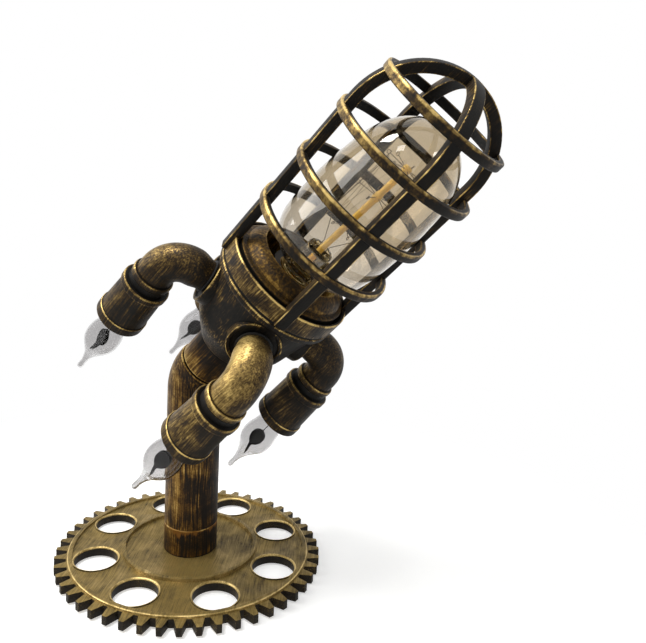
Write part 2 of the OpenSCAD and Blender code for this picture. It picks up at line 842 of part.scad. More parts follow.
// One arch: two straps up the sides and a half circle over the nose.
module arch(turn) {
    foot = hub_top + collar_groove_h;
    on_rocket()
        rotate([0, 0, turn]) {
            for (side = [0, 180])
                rotate([0, 0, side])
                    translate([strap_in_r, -strap_w / 2, foot])
                        cube([strap_t, strap_w, nose_t - foot]);
            translate([0, 0, nose_t])
                rotate([90, 0, 0])
                    rotate_extrude(angle = 180)
                        translate([strap_in_r, -strap_w / 2])
                            square([strap_t, strap_w]);
        }
}

// What the arches are cut back from: the hoops and the collar, to its full inner bore.
module arch_cuts() {
    for (i = [0 : 2])
        cage_hoop(i);
    cage_hoop_nose();
    on_rocket()
        translate([0, 0, hub_top - cut])
            cylinder(d = collar_d, h = collar_h + cut);
}

module cage_arch_a() {
    color(dark_bronze)
        difference() {
            arch(head_turn);
            arch_cuts();
        }
}

// The second arch stops against the sides of the first one at the nose.
module cage_arch_b() {
    color(dark_bronze)
        difference() {
            arch(head_turn + 90);
            arch_cuts();
            on_rocket()
                rotate([0, 0, head_turn])
                    translate([-strap_w, -strap_w / 2, nose_t + strap_in_r - strap_t])
                        cube([2 * strap_w, strap_w, 3 * strap_t]);
        }
}

// Outline of the large bulb, set in by w: neck, swell and round top.
function bulb_line(w) = let (r = bulb_d / 2 - w, n = bulb_neck_d / 2 - w, h = bulb_len - w) concat(
    curve([[n, 0], [n, bulb_swell_h / 3], [r - 4 * bulb_side_in, bulb_swell_h / 4],
           [r - bulb_side_in, bulb_swell_h]], 8),
    curve([[r - bulb_side_in, bulb_swell_h], [r + bulb_side_in / 2, 1.4 * bulb_swell_h],
           [r + bulb_side_in / 2, bulb_len - 1.5 * bulb_top_h],
           [r - bulb_side_in, bulb_len - bulb_top_h]], 8),
    curve([[r - bulb_side_in, bulb_len - bulb_top_h],
           [r - 2 * bulb_side_in, bulb_len - 0.4 * bulb_top_h], [r / 2, h], [0, h]], 12));

module bulb_glass() {
    inner = bulb_line(bulb_wall);
    color(amber_glass)
        on_bulb()
            translate([0, 0, bulb_rim_z])
                rotate_extrude()
                    polygon(concat(bulb_line(0), [[0, bulb_len], [0, bulb_len - bulb_wall]],
                        [for (i = [len(inner) - 1 : -1 : 0]) inner[i]]));
}

// Screw cap: a thin shell with its insulator and centre button, under the rim of the glass.
module screw_cap(d, h, wall) {
    color(brass)
        difference() {
            union() {
                translate([0, 0, -h + h / 4])
                    cylinder(d = d, h = h - h / 4);
                translate([0, 0, -h])
                    cylinder(d1 = d / 3, d2 = d, h = h / 4);
            }
            translate([0, 0, -h + h / 4])
                cylinder(r = d / 2 - wall, h = h);
        }
}

module bulb_cap() {
    on_bulb()
        translate([0, 0, bulb_rim_z])
            screw_cap(cap_d, cap_len, bulb_wall);
}

// Flare, press and long rod of glass that carries the filament.
module bulb_stem() {
    flare_r = bulb_neck_d / 2 - bulb_wall - push_gap;
    color(amber_glass)
        on_bulb()
            translate([0, 0, bulb_rim_z])
                rotate_extrude()
                    polygon([[0, 0], [flare_r, 0], [flare_r, flare_t], [stem_d, press_h / 2],
                             [stem_d, press_h], [stem_d / 2, press_h + stem_d / 2],
                             [stem_d / 2, press_h + stem_len], [0, press_h + stem_len]]);
}

// Straight wire from a to b.
module wire(a, b, d) {
    v = b - a;
    translate(a)
        rotate([0, acos(v[2] / norm(v)), atan2(v[1], v[0])])
            cylinder(d = d, h = norm(v), $fn = 16);
}

// Point at radius r on arm i of a star of supports.
function star_tip(i, r, z) = [r * cos(360 * i / support_count), r * sin(360 * i / support_count), z];

// Two stars of support wires on the rod, and the filament strung up and down between them.
module bulb_filament() {
    low = press_h + stem_len / 3;
    high = press_h + stem_len - 2 * wire_d;
    inner = stem_d / 2 + push_gap;
    color("#8a6a3a")
        on_bulb()
            translate([0, 0, bulb_rim_z])
                union() {
                    for (i = [0 : support_count - 1], z = [low, high])
                        wire(star_tip(i, inner, z), star_tip(i, support_reach + wire_d, z), wire_d);
                    for (i = [0 : support_count - 1])
                        wire(star_tip(i, support_reach, low - wire_d),
                             star_tip(i, support_reach, high + wire_d), filament_d);
                }
}

module elbow(k) {
    color(bronze)
        on_arm(k)
            difference() {
                union() {
                    elbow_run(arm_neck_d / 2, arm_d / 2, shoulder_x, elbow_end);
                    rotate([0, 90, 0])
                        translate([0, 0, shoulder_x - spigot_len])
                            cylinder(d = spigot_d, h = spigot_len + cut);
                    translate([arm_reach, 0, 0])
                        rotate([180, 0, 0])
                            bead(arm_bore_d / 2 + cut, bead_d / 2, bead_z, bead_w);
                }
                elbow_run(arm_bore_d / 2, arm_bore_d / 2, 0, elbow_end + cut);
                translate([arm_reach, 0, -elbow_end - cut])
                    cylinder(r = cup_spigot_d / 2 + push_gap, h = cup_spigot + cut);
            }
}

// Solid run of an elbow: out along X from x0, widening from r0 to r, a quarter bend, and down to -z1.
module elbow_run(r0, r, x0, z1) {
    rotate([0, 90, 0])
        translate([0, 0, x0])
            cylinder(r1 = r0, r2 = r, h = bend_x - x0);
    translate([bend_x, 0, -elbow_r])
        rotate([90, 0, 0])
            rotate_extrude(angle = 90)
                translate([elbow_r, 0])
                    circle(r = r);
    translate([arm_reach, 0, -z1])
        cylinder(r = r, h = z1 - elbow_r);
}

// Lamp cup: groove, top ring, tapered body and mouth band, hollow from the mouth.
module cup(k) {
    color(bronze)
        on_cup(k)
            difference() {
                union() {
                    translate([0, 0, elbow_end - cup_spigot])
                        cylinder(d = cup_spigot_d, h = cup_spigot + cut);
                    rotate_extrude()
                        polygon([[0, elbow_end], [cup_groove_d / 2, elbow_end],
                                 [cup_groove_d / 2, cup_ring_z],
                                 [cup_ring_d / 2, cup_ring_z], [cup_ring_d / 2, cup_body_z],
                                 [cup_top_d / 2, cup_body_z], [cup_low_d / 2, cup_band_z],
                                 [cup_band_d / 2, cup_band_z], [cup_band_d / 2, cup_mouth_z],
                                 [0, cup_mouth_z]]);
                }
                translate([0, 0, elbow_end - cup_spigot - cut])
                    cylinder(d = arm_bore_d, h = cup_floor_z);
                translate([0, 0, cup_floor_z])
                    cylinder(d1 = cup_hollow_d, d2 = cup_mouth_d, h = cup_mouth_z - cup_floor_z);
            }
}

module small_holder(k) {
    color("#e6e0d2")
        on_cup(k)
            difference() {
                translate([0, 0, cup_floor_z])
                    cylinder(d = small_holder_d, h = small_holder_len);
                translate([0, 0, small_contact_z])
                    cylinder(r = small_cap_d / 2 + thread_gap, h = small_holder_len);
            }
}

module small_contact(k) {
    color(brass)
        on_cup(k)
            translate([0, 0, small_contact_z])
                cylinder(d = small_contact_d, h = contact_t);
}

// Outline of a flame bulb, set in by w: neck, belly, drawn-out tail and round tip.
function flame_line(w) = let (r = flame_d / 2 - w, n = flame_neck_r - w, t = flame_tip_d / 2 - w) concat(
    curve([[n, 0], [n, 0.4 * flame_swell_h], [r - 3 * flame_side_in, flame_swell_h / 3],
           [r - flame_side_in, flame_swell_h]], 6),
    curve([[r - flame_side_in, flame_swell_h], [r + flame_side_in / 2, flame_swell_h + 0.4 * flame_belly_h],
           [r + flame_side_in / 2, flame_swell_h + 0.75 * flame_belly_h],
           [r - 2 * flame_side_in, flame_len - flame_tail_h]], 7),
    curve([[r - 2 * flame_side_in, flame_len - flame_tail_h],
           [r - 3.5 * flame_side_in, flame_len - 0.83 * flame_tail_h],
           [t + flame_side_in / 2, flame_len - 0.65 * flame_tail_h], [t, flame_len - flame_tip_h]], 8),
    [for (a = [0 : 30 : 60]) [t * cos(a), flame_len - w - t + t * sin(a)]]);

// Glass shell of a flame bulb and the glass press in its neck.
module flame_glass(k) {
    inner = flame_line(flame_wall);
    press_r = flame_neck_r - flame_wall - push_gap;
    color(clear_glass)
        on_cup(k)
            translate([0, 0, small_rim_z]) {
                rotate_extrude()
                    polygon(concat(flame_line(0), [[0, flame_len], [0, flame_len - flame_wall]],
                        [for (i = [len(inner) - 1 : -1 : 0]) inner[i]]));
                cylinder(r1 = press_r, r2 = plate_gap + plate_t, h = flame_press_h);
            }
}

module flame_cap(k) {
    on_cup(k)
        translate([0, 0, small_rim_z])
            screw_cap(small_cap_d, small_cap_len, flame_wall + flame_neck_in);
}

// Spade outline of one flame plate with its curled tail.
function plate_outline() = let (b = plate_w / 2, f = plate_foot_w / 2, m = plate_waist_w / 2,
    h = plate_waist_h, l = plate_len, t = plate_tip_w / 2) concat(
    curve([[f, 0], [1.3 * b, h / 8], [1.2 * b, 0.7 * h], [m, h]], 8),
    curve([[m, h], [m / 3, 1.2 * h], [plate_lean - t, 0.85 * l], [plate_lean + t, l]], 5),
    curve([[plate_lean - t, l], [t, 0.85 * l], [-m / 2, 1.25 * h], [-m, h]], 5),
    curve([[-m, h], [-1.2 * b, 0.7 * h], [-1.3 * b, h / 8], [-f, 0]], 8), [[-f, 0]]);

// Two flame plates side by side, each on its own wire from the press.
module flame_plates(k) {
    color("#1b1a19")
        on_cup(k)
            rotate([0, 0, plate_turn[k]])
                for (side = [-1, 1])
                    translate([0, side * (plate_gap + plate_t) / 2, small_rim_z + flame_press_h]) {
                        translate([0, plate_t / 2, plate_rise])
                            rotate([90, 0, 0])
                                linear_extrude(plate_t)
                                    polygon(plate_outline());
                        cylinder(d = plate_t, h = plate_rise + 2 * cut);
                    }
}

base_gear();
foot_pads();
base_felt();
base_screws();
base_socket();
cord_grommet();
column_pipe();
neck_sleeve();
hub();
arm_washers();
lamp_flex();
terminal_block();
holder_bracket();
bracket_screws();
holder_body();
holder_shell();
holder_contact();
holder_cap();
cage_collar();
cage_arch_a();
cage_arch_b();
cage_hoop(0);  // cage_hoop_1
cage_hoop(1);  // cage_hoop_2
cage_hoop(2);  // cage_hoop_3
cage_hoop_nose();
bulb_glass();
bulb_cap();
bulb_stem();
bulb_filament();
for (k = [0 : 3]) {
    elbow(k);
    cup(k);
    small_holder(k);
    small_contact(k);
    flame_glass(k);
    flame_cap(k);
    flame_plates(k);
}
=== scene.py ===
from math import atan2, cos, hypot, pi, radians, sin, tau

import bpy
import numpy as np
from mathutils import Matrix, Vector


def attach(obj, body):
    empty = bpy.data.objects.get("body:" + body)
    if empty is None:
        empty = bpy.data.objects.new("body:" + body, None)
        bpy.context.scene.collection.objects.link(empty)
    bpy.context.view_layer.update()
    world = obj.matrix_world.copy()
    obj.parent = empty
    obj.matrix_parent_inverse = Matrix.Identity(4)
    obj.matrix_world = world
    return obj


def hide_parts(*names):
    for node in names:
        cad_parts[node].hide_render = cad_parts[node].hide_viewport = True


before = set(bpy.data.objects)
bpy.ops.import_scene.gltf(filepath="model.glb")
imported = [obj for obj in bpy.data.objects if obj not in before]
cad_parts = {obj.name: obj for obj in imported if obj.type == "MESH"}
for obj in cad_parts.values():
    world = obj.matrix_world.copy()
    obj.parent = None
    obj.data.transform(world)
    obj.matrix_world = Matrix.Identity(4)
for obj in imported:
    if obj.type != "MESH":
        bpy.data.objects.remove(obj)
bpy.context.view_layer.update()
bpy.ops.object.select_all(action="DESELECT")


# Studio. A white table top and white surroundings, one soft light high on the left, one from above
# and two weak ones in front and on the right. The camera stands at the photograph's viewing angle.
MM = 0.001
PHOTO_W, PHOTO_H = 646, 643
FOCAL_PX = 618.07
AXIS_PX = (279, 271)
SENSOR_MM = 36


def linear(code):
    """Linear RGBA of an sRGB hex colour such as "8b7648"."""
    parts = [int(code[i:i + 2], 16) / 255 for i in (0, 2, 4)]
    return [p / 12.92 if p < 0.04045 else ((p + 0.055) / 1.055) ** 2.4 for p in parts] + [1.0]


def add(tree, kind, inputs, output=0, **settings):
    """Adds a node with its settings, sets or links its inputs, and gives back one output."""
    made = tree.nodes.new(kind)
    for name, value in settings.items():
        if name == "stops":
            ramp = made.color_ramp.elements
            ramp.remove(ramp[1])
            ramp[0].position, ramp[0].color = value[0]
            for place, colour in value[1:]:
                ramp.new(place).color = colour
        else:
            setattr(made, name, value)
    for name, value in inputs.items():
        if isinstance(value, bpy.types.NodeSocket):
            tree.links.new(value, made.inputs[name])
        else:
            made.inputs[name].default_value = value
    return made.outputs[output] if made.outputs else made


def white_to_the_eye(tree):
    """1 for rays that look straight, by reflection or through glass, and 0 for light itself."""
    seen = 0.0
    for kind in ("Is Camera Ray", "Is Glossy Ray", "Is Transmission Ray"):
        seen = add(tree, "ShaderNodeMath", {0: add(tree, "ShaderNodeLightPath", {}, kind), 1: seen},
                   operation="MAXIMUM")
    return seen


scene = bpy.context.scene
scene.view_settings.view_transform = "Standard"
scene.world = bpy.data.worlds.new("white_studio")
scene.world.use_nodes = True
tree = scene.world.node_tree
tree.nodes.clear()
AMBIENT = 0.3
strength = add(tree, "ShaderNodeMapRange", {"Value": white_to_the_eye(tree), "To Min": AMBIENT})
sky = add(tree, "ShaderNodeBackground", {"Color": linear("ffffff"), "Strength": strength})
add(tree, "ShaderNodeOutputWorld", {"Surface": sky})

bpy.ops.mesh.primitive_plane_add(size=8)
table_top = bpy.context.object
table_top.name = "table_top"
# Matt white card: it melts into the surroundings, except where the soft shadow lies on it
white_card = bpy.data.materials.new("white_card")
white_card.use_nodes = True
tree = white_card.node_tree
tree.nodes.clear()
seen = white_to_the_eye(tree)
card = add(tree, "ShaderNodeBsdfDiffuse", {"Color": linear("e4e4e2")})
glow = add(tree, "ShaderNodeEmission", {"Color": linear("ffffff"),
           "Strength": add(tree, "ShaderNodeMapRange", {"Value": seen, "To Max": 0.5})})
near = add(tree, "ShaderNodeAddShader", {0: card, 1: glow})
# The shadow lies near the foot; further out the card is as white as the surroundings
FADE_FROM, FADE_TO = 130 * MM, 400 * MM
spot = add(tree, "ShaderNodeTexCoord", {}, "Object")
away = add(tree, "ShaderNodeVectorMath", {0: spot}, "Value", operation="LENGTH")
fade = add(tree, "ShaderNodeMapRange", {"Value": away, "From Min": FADE_FROM, "From Max": FADE_TO},
           interpolation_type="SMOOTHSTEP")
white = add(tree, "ShaderNodeEmission", {"Color": linear("ffffff"),
            "Strength": add(tree, "ShaderNodeMapRange", {"Value": seen, "To Min": AMBIENT})})
card_and_white = add(tree, "ShaderNodeMixShader", {0: fade, 1: near, 2: white})
add(tree, "ShaderNodeOutputMaterial", {"Surface": card_and_white})
table_top.data.materials.append(white_card)

AIM = Vector((0.09, 0, 0.18))
# Each lamp's place and size in metres and its power in watts
for name, place, size, power in (("softbox_left", (-0.95, -0.75, 1.05), 1.1, 16),
                                 ("softbox_top", (-0.11, -0.38, 1.32), 0.32, 11),
                                 ("softbox_front", (0.35, -0.78, 1.09), 0.2, 0.9),
                                 ("softbox_right", (1.2, -0.1, 0.72), 0.2, 1.3)):
    bpy.ops.object.light_add(type="AREA", location=place)
    lamp = bpy.context.object
    lamp.name = name
    lamp.data.shape = "SQUARE"
    lamp.data.size = size
    lamp.data.energy = power
    lamp.rotation_euler = (AIM - Vector(place)).to_track_quat("-Z", "Y").to_euler()

bpy.ops.object.camera_add()
camera = bpy.context.object
CAMERA_MM = (307.6, -351.2, 259.5)
HEADING, DIP, ROLL = radians(33.72), radians(4.49), radians(2.2)
camera.matrix_world = (Matrix.Translation(Vector(CAMERA_MM) * MM) @ Matrix.Rotation(HEADING, 4, "Z")
                       @ Matrix.Rotation(pi / 2 - DIP, 4, "X") @ Matrix.Rotation(ROLL, 4, "Z"))
camera.data.sensor_fit = "HORIZONTAL"
camera.data.sensor_width = SENSOR_MM
camera.data.lens = FOCAL_PX * SENSOR_MM / PHOTO_W
camera.data.shift_x = (PHOTO_W / 2 - AXIS_PX[0]) / PHOTO_W
camera.data.shift_y = (AXIS_PX[1] - PHOTO_H / 2) / PHOTO_W
camera.data.clip_start = 0.01
scene.camera = camera


# Gear foot. A cast plate with teeth, a raised rim and middle ring and round holes with rolled
# lips. It is painted black, then dry-brushed with antique bronze in sweeping strokes, so the
# bronze catches on every edge and the black stays between the strokes and in the corners.
SWIRL_MM, PATCH_MM, GRAIN_MM = 45, 14, 1.1
SWAY = 0.005
DRIP_W, DRIP_L, DRIP_REACH, DRIP_FROM, DRIP_TO = 3.5, 16, 20, 6.5, 9
# Direction towards the key lamp; faces that look this way are painted lighter, as painted light
KEY_LAMP_FROM = (-0.45, -0.35, 0.82)
ANTIQUE = ((0.0, "0e0d0b"), (0.34, "1b1712"), (0.50, "35291a"), (0.64, "5c4a2b"), (0.80, "8c7443"),
           (1.0, "cdb06c"))


def brushed_bronze(name, stroke, turn=(0, 0, 0), bronze=0.0, strokes=1.0, mottle=1.1, lit=0.1,
                   tones=ANTIQUE, run=None):
    """Black paint dry-brushed with bronze. stroke is a stroke's width and length in millimetres,
    along the Z axis that turn tips over; bronze shifts the whole towards more metal, strokes and
    mottle set how strong the streaks and the patches are, and lit how much lighter the faces that
    look towards the key lamp are painted, which is painted light. tones runs from bare black to
    rubbed gold. The mesh's own wear attribute rubs edges to gold above 0, to black below 0. run is
    the height from which lacquer has run down, and the lacquer's colour."""
    finish = bpy.data.materials.new(name)
    finish.use_nodes = True
    tree = finish.node_tree
    tree.nodes.clear()
    spot = add(tree, "ShaderNodeTexCoord", {}, "Object")
    width, length = stroke
    # The strokes sway a little
    swirl = add(tree, "ShaderNodeTexNoise", {"Vector": spot, "Scale": 1 / (SWIRL_MM * MM), "Detail": 1.0},
                "Color")
    bent = add(tree, "ShaderNodeMix", {0: SWAY, 4: spot, 5: swirl}, 1, data_type="VECTOR")
    along = add(tree, "ShaderNodeMapping", {"Vector": bent, "Rotation": turn}, vector_type="TEXTURE")
    drawn = (1 / (width * MM), 1 / (width * MM), 1 / (length * MM))
    along = add(tree, "ShaderNodeVectorMath", {0: along, 1: drawn}, operation="MULTIPLY")
    # Strokes of the brush's hairs, drawn wider than real ones, which would be too fine to show
    hairs = add(tree, "ShaderNodeTexNoise", {"Vector": along, "Scale": 1.0, "Detail": 2.5,
                                              "Roughness": 0.6})
    # Patches where the brush pressed more or less
    press = add(tree, "ShaderNodeTexNoise", {"Vector": bent, "Scale": 1 / (PATCH_MM * MM), "Detail": 4.0,
                                              "Roughness": 0.6, "Distortion": 0.4})
    # Grain of the surface below, which breaks up the paint; it is drawn coarser than it is, to show
    grain = add(tree, "ShaderNodeTexNoise", {"Vector": spot, "Scale": 1 / (GRAIN_MM * MM), "Detail": 2.0})
    # Painted light: faces that look up and to the left, towards the key lamp, are painted with more
    # bronze
    normal = add(tree, "ShaderNodeTexCoord", {}, "Normal")
    towards_lamp = add(tree, "ShaderNodeVectorMath", {0: normal, 1: KEY_LAMP_FROM}, "Value",
                 operation="DOT_PRODUCT")
    cover = bronze + 0.35 - strokes - mottle / 2
    for part, share in ((hairs, 2 * strokes), (press, mottle), (grain, 0.3), (towards_lamp, lit)):
        cover = add(tree, "ShaderNodeMath", {0: part, 1: share, 2: cover}, operation="MULTIPLY_ADD")
    wear = add(tree, "ShaderNodeAttribute", {}, "Fac", attribute_name="wear")
    rub = add(tree, "ShaderNodeMapRange", {"Value": grain, "From Min": 0.3, "From Max": 0.7,
                                            "To Min": 0.4, "To Max": 0.7})
    patch = add(tree, "ShaderNodeMapRange", {"Value": press, "From Min": 0.35, "From Max": 0.6,
                                              "To Min": 0.25, "To Max": 0.7})
    gold = add(tree, "ShaderNodeMath", {0: wear, 1: 0.0}, operation="MAXIMUM")
    black = add(tree, "ShaderNodeMath", {0: wear, 1: 0.0}, operation="MINIMUM")
    for part, share in ((gold, patch), (black, rub)):
        cover = add(tree, "ShaderNodeMath", {0: part, 1: share, 2: cover}, operation="MULTIPLY_ADD")
    colour = add(tree, "ShaderNodeValToRGB", {"Fac": cover}, stops=[(p, linear(c)) for p, c in tones])
    if run:
        seam, lacquer = run
        drip = (1 / (DRIP_W * MM), 1 / (DRIP_W * MM), 1 / (DRIP_L * MM))
        streaks = add(tree, "ShaderNodeVectorMath", {0: spot, 1: drip}, operation="MULTIPLY")
        far = add(tree, "ShaderNodeTexNoise", {"Vector": streaks, "Scale": 1.0, "Detail": 3.0})
        height = add(tree, "ShaderNodeSeparateXYZ", {"Vector": spot}, "Z")
        reach = add(tree, "ShaderNodeMath", {0: far, 1: DRIP_REACH * MM, 2: height},
                    operation="MULTIPLY_ADD")
        wet = add(tree, "ShaderNodeMapRange", {"Value": reach, "From Min": (seam + DRIP_FROM) * MM,
                                                "From Max": (seam + DRIP_TO) * MM, "To Max": 0.8})
        colour = add(tree, "ShaderNodeMix", {0: wet, 6: colour, 7: linear(lacquer)}, 2, data_type="RGBA")
    metal = add(tree, "ShaderNodeMapRange", {"Value": cover, "From Min": 0.35, "From Max": 0.65,
                                              "To Min": 0.0, "To Max": 0.65})
    rough = add(tree, "ShaderNodeMapRange", {"Value": cover, "From Min": 0.3, "From Max": 0.8,
                                              "To Min": 0.55, "To Max": 0.38})
    height = add(tree, "ShaderNodeMath", {0: grain, 1: 0.5, 2: hairs}, operation="MULTIPLY_ADD")
    bump = add(tree, "ShaderNodeBump", {"Strength": 0.35, "Distance": 0.25 * MM, "Height": height})
    # The paint is dry, so it has little gloss of its own
    skin = add(tree, "ShaderNodeBsdfPrincipled", {"Base Color": colour, "Metallic": metal,
                                                   "Roughness": rough, "Normal": bump,
                                                   "Specular IOR Level": 0.13})
    add(tree, "ShaderNodeOutputMaterial", {"Surface": skin})
    return finish


def chosen(piece):
    """Makes a piece the only selected and active one."""
    bpy.ops.object.select_all(action="DESELECT")
    piece.select_set(True)
    bpy.context.view_layer.objects.active = piece


def copied(name, node):
    """A merged copy of a CAD node, which can be shaped further."""
    piece = bpy.data.objects.new(name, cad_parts[node].data.copy())
    scene.collection.objects.link(piece)
    chosen(piece)
    bpy.ops.object.mode_set(mode="EDIT")
    bpy.ops.mesh.select_all(action="SELECT")
    bpy.ops.mesh.remove_doubles(threshold=0.002 * MM)
    bpy.ops.mesh.dissolve_limited(angle_limit=radians(0.6))
    bpy.ops.object.mode_set(mode="OBJECT")
    return piece


def rub_edges(piece, width, edge, broad, least=30):
    """Rounds the edges sharper than least degrees by width millimetres and writes the wear of the
    rounded edges, and of every broad face as the given rule says."""
    chosen(piece)
    bpy.ops.object.mode_set(mode="EDIT")
    bpy.ops.mesh.select_mode(type="EDGE")
    bpy.ops.mesh.select_all(action="DESELECT")
    bpy.ops.mesh.edges_select_sharp(sharpness=radians(least))
    bpy.ops.mesh.bevel(offset=width * MM, offset_type="OFFSET", segments=3, profile=0.5,
                       clamp_overlap=True)
    bpy.ops.object.mode_set(mode="OBJECT")
    wear = piece.data.attributes.new("wear", "FLOAT", "FACE")
    for mark, side in zip(wear.data, piece.data.polygons):
        corners = [piece.data.vertices[i].co for i in side.vertices]
        longest = max((a - b).length for a, b in zip(corners, corners[1:] + corners[:1]))
        mark.value = edge if side.area < longest * width * MM else broad(side)


def fit(piece, place, body, slot, finish, *nodes):
    """Puts a finished piece in place, gives it its finish and body, and hides the CAD nodes it stands
    for.
    Thin glass lets the lamps' light through."""
    chosen(piece)
    piece.matrix_world = place
    bpy.ops.object.transform_apply(location=True, rotation=True, scale=True)
    bpy.ops.object.shade_smooth_by_angle(angle=radians(32))
    piece.data.materials.clear()
    piece.data.materials.append(finish)
    piece.visible_shadow = "glass" not in slot
    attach(piece, body)
    if nodes:
        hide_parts(*nodes)


def refinish(node, finish):
    """Gives a CAD node that stays in view its own finish."""
    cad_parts[node].data.materials.clear()
    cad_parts[node].data.materials.append(finish)


UPRIGHT = Matrix.Identity(4)
# The foot took the most bronze: dull gold in level strokes, black only on walls and in corners
LEVEL = (radians(90), 0, radians(28))
FOOT_TONES = ((0.0, "15120e"), (0.26, "2c2418"), (0.42, "64542f"), (0.60, "85703f"), (0.80, "9d8654"),
              (1.0, "d3b87a"))
gear_paint = brushed_bronze("cast_iron_brushed_bronze", (0.8, 26), LEVEL, bronze=0.05, strokes=0.4,
                            mottle=0.7, tones=FOOT_TONES)
gear = copied("gear_foot", "base_gear")
# The lips of the round holes stand up from the plate and are rolled over
PLATE_TOP, HOLE_LIP_H = 7.5, 0.8
HOLES, HOLE_R, HOLE_RING_R, HOLE_TURN = 8, 15.5, 70.6, 10.7
LIP_ROLL = 1.2
bpy.ops.object.mode_set(mode="EDIT")
bpy.ops.mesh.select_mode(type="VERT")
bpy.ops.mesh.select_all(action="DESELECT")
bpy.ops.object.mode_set(mode="OBJECT")
for vertex in gear.data.vertices:
    x, y, z = vertex.co / MM
    nearest = round((atan2(y, x) - radians(HOLE_TURN)) / (tau / HOLES))
    turn = radians(HOLE_TURN) + nearest * tau / HOLES
    off = hypot(x - HOLE_RING_R * cos(turn), y - HOLE_RING_R * sin(turn))
    vertex.select = z > PLATE_TOP + HOLE_LIP_H - 0.1 and abs(off - HOLE_R) < 0.05
bpy.ops.object.mode_set(mode="EDIT")
bpy.ops.mesh.select_mode(type="EDGE")
bpy.ops.mesh.bevel(offset=LIP_ROLL * MM, offset_type="OFFSET", segments=6, profile=0.5,
                   clamp_overlap=True)
bpy.ops.object.mode_set(mode="OBJECT")
DISC_R, DISC_RIDGE_R, RIM_R = 48, 52, 86.9


def gear_wear(side):
    """Walls of teeth and holes stay black, the ridges' sides don't, and the middle is a little
    darker."""
    off = hypot(side.center.x, side.center.y) / MM
    if abs(side.normal.z) < 0.3:
        on_ridge = side.center.z > PLATE_TOP * MM and (off < DISC_RIDGE_R + 1 or off > RIM_R)
        return 0.3 if on_ridge else -0.75
    return -0.2 if off < DISC_R else 0.25 if off < DISC_RIDGE_R else 0.0


rub_edges(gear, width=0.45, edge=0.5, broad=gear_wear)
fit(gear, UPRIGHT, "stand", "bronzed_iron", gear_paint, "base_gear")


# Feet. Rubber pads near the rim and a felt disc in the middle keep the cast iron off the table.
# Three zinc-plated screws come up through the plate into the base socket.
def plain_finish(name, colours, grain_mm, rough, metal=0.0, bump_mm=0.05):
    """A plain moulded, plated or cut surface: two near shades in a grain of the given size. Real
    grain of this kind is finer and would not show, so it is drawn coarser."""
    finish = bpy.data.materials.new(name)
    finish.use_nodes = True
    tree = finish.node_tree
    tree.nodes.clear()
    spot = add(tree, "ShaderNodeTexCoord", {}, "Object")
    grain = add(tree, "ShaderNodeTexNoise", {"Vector": spot, "Scale": 1 / (grain_mm * MM), "Detail": 3.0})
    colour = add(tree, "ShaderNodeValToRGB", {"Fac": grain},
                 stops=[(0.3, linear(colours[0])), (0.7, linear(colours[1]))])
    bump = add(tree, "ShaderNodeBump", {"Strength": 0.4, "Distance": bump_mm * MM, "Height": grain})
    skin = add(tree, "ShaderNodeBsdfPrincipled", {"Base Color": colour, "Metallic": metal,
                                                   "Roughness": rough, "Normal": bump})
    add(tree, "ShaderNodeOutputMaterial", {"Surface": skin})
    return finish


# Dull black rubber, matt grey felt with a fuzzy grain, and pale grey plating with a soft gloss
rubber = plain_finish("moulded_black_rubber", ("131313", "1d1d1c"), 0.8, 0.75)
felt = plain_finish("pressed_grey_felt", ("2b2926", "3d3a35"), 0.6, 0.95, bump_mm=0.3)
zinc = plain_finish("zinc_plated_steel", ("a2a2a0", "bcbcb8"), 1.5, 0.35, metal=1.0)
for node, finish in (("foot_pads", rubber), ("base_felt", felt), ("base_screws", zinc),
                     ("cord_grommet", rubber)):
    refinish(node, finish)


# Base socket. A short pipe socket screwed to the plate; the column is pushed into it and glued.
# Some orange-brown lacquer has run down from the seam, and a thin line of bronze marks its edge.
FILLET_SHARE, GUARD_SHARE, GUARD = 0.46, 0.48, 0.7
MERGE = 0.003 * MM


def outline(corners, closed=False):
    """Turns corners (radius, height, fillet, edge wear, wear of the face that follows), in
    millimetres, into points (radius, height, wear) with rounded corners. A guard point on either
    side of a corner keeps its wear from spreading over the faces."""
    points = []
    count = len(corners)
    for i, (r, z, fillet, edge, face) in enumerate(corners):
        here = Vector((r, z))
        if fillet == 0:
            points.append((r, z, face))
            continue
        before, after = corners[i - 1], corners[(i + 1) % count]
        back, on = Vector(before[:2]) - here, Vector(after[:2]) - here
        cut = min(fillet, FILLET_SHARE * back.length, FILLET_SHARE * on.length)
        guard_in = min(cut + GUARD, GUARD_SHARE * back.length)
        guard_out = min(cut + GUARD, GUARD_SHARE * on.length)
        back.normalize()
        on.normalize()
        points.append((*(here + back * guard_in), before[4]))
        for share in (0.0, 0.25, 0.5, 0.75, 1.0):
            spot = here + back * cut * (1 - share) ** 2 + on * cut * share ** 2
            points.append((*spot, edge))
        points.append((*(here + on * guard_out), face))
    return points + [points[0]] if closed else points


def write_wear(piece, points):
    """Writes each vertex's wear from the nearest outline point, by radius and height."""
    table = np.array(points)
    spots = np.array([v.co for v in piece.data.vertices]) / MM
    radius = np.hypot(spots[:, 0], spots[:, 1])
    apart = (radius[:, None] - table[:, 0]) ** 2 + (spots[:, 2, None] - table[:, 1]) ** 2
    wear = piece.data.attributes.new("wear", "FLOAT", "POINT")
    wear.data.foreach_set("value", table[apart.argmin(1), 2].astype(np.float32))


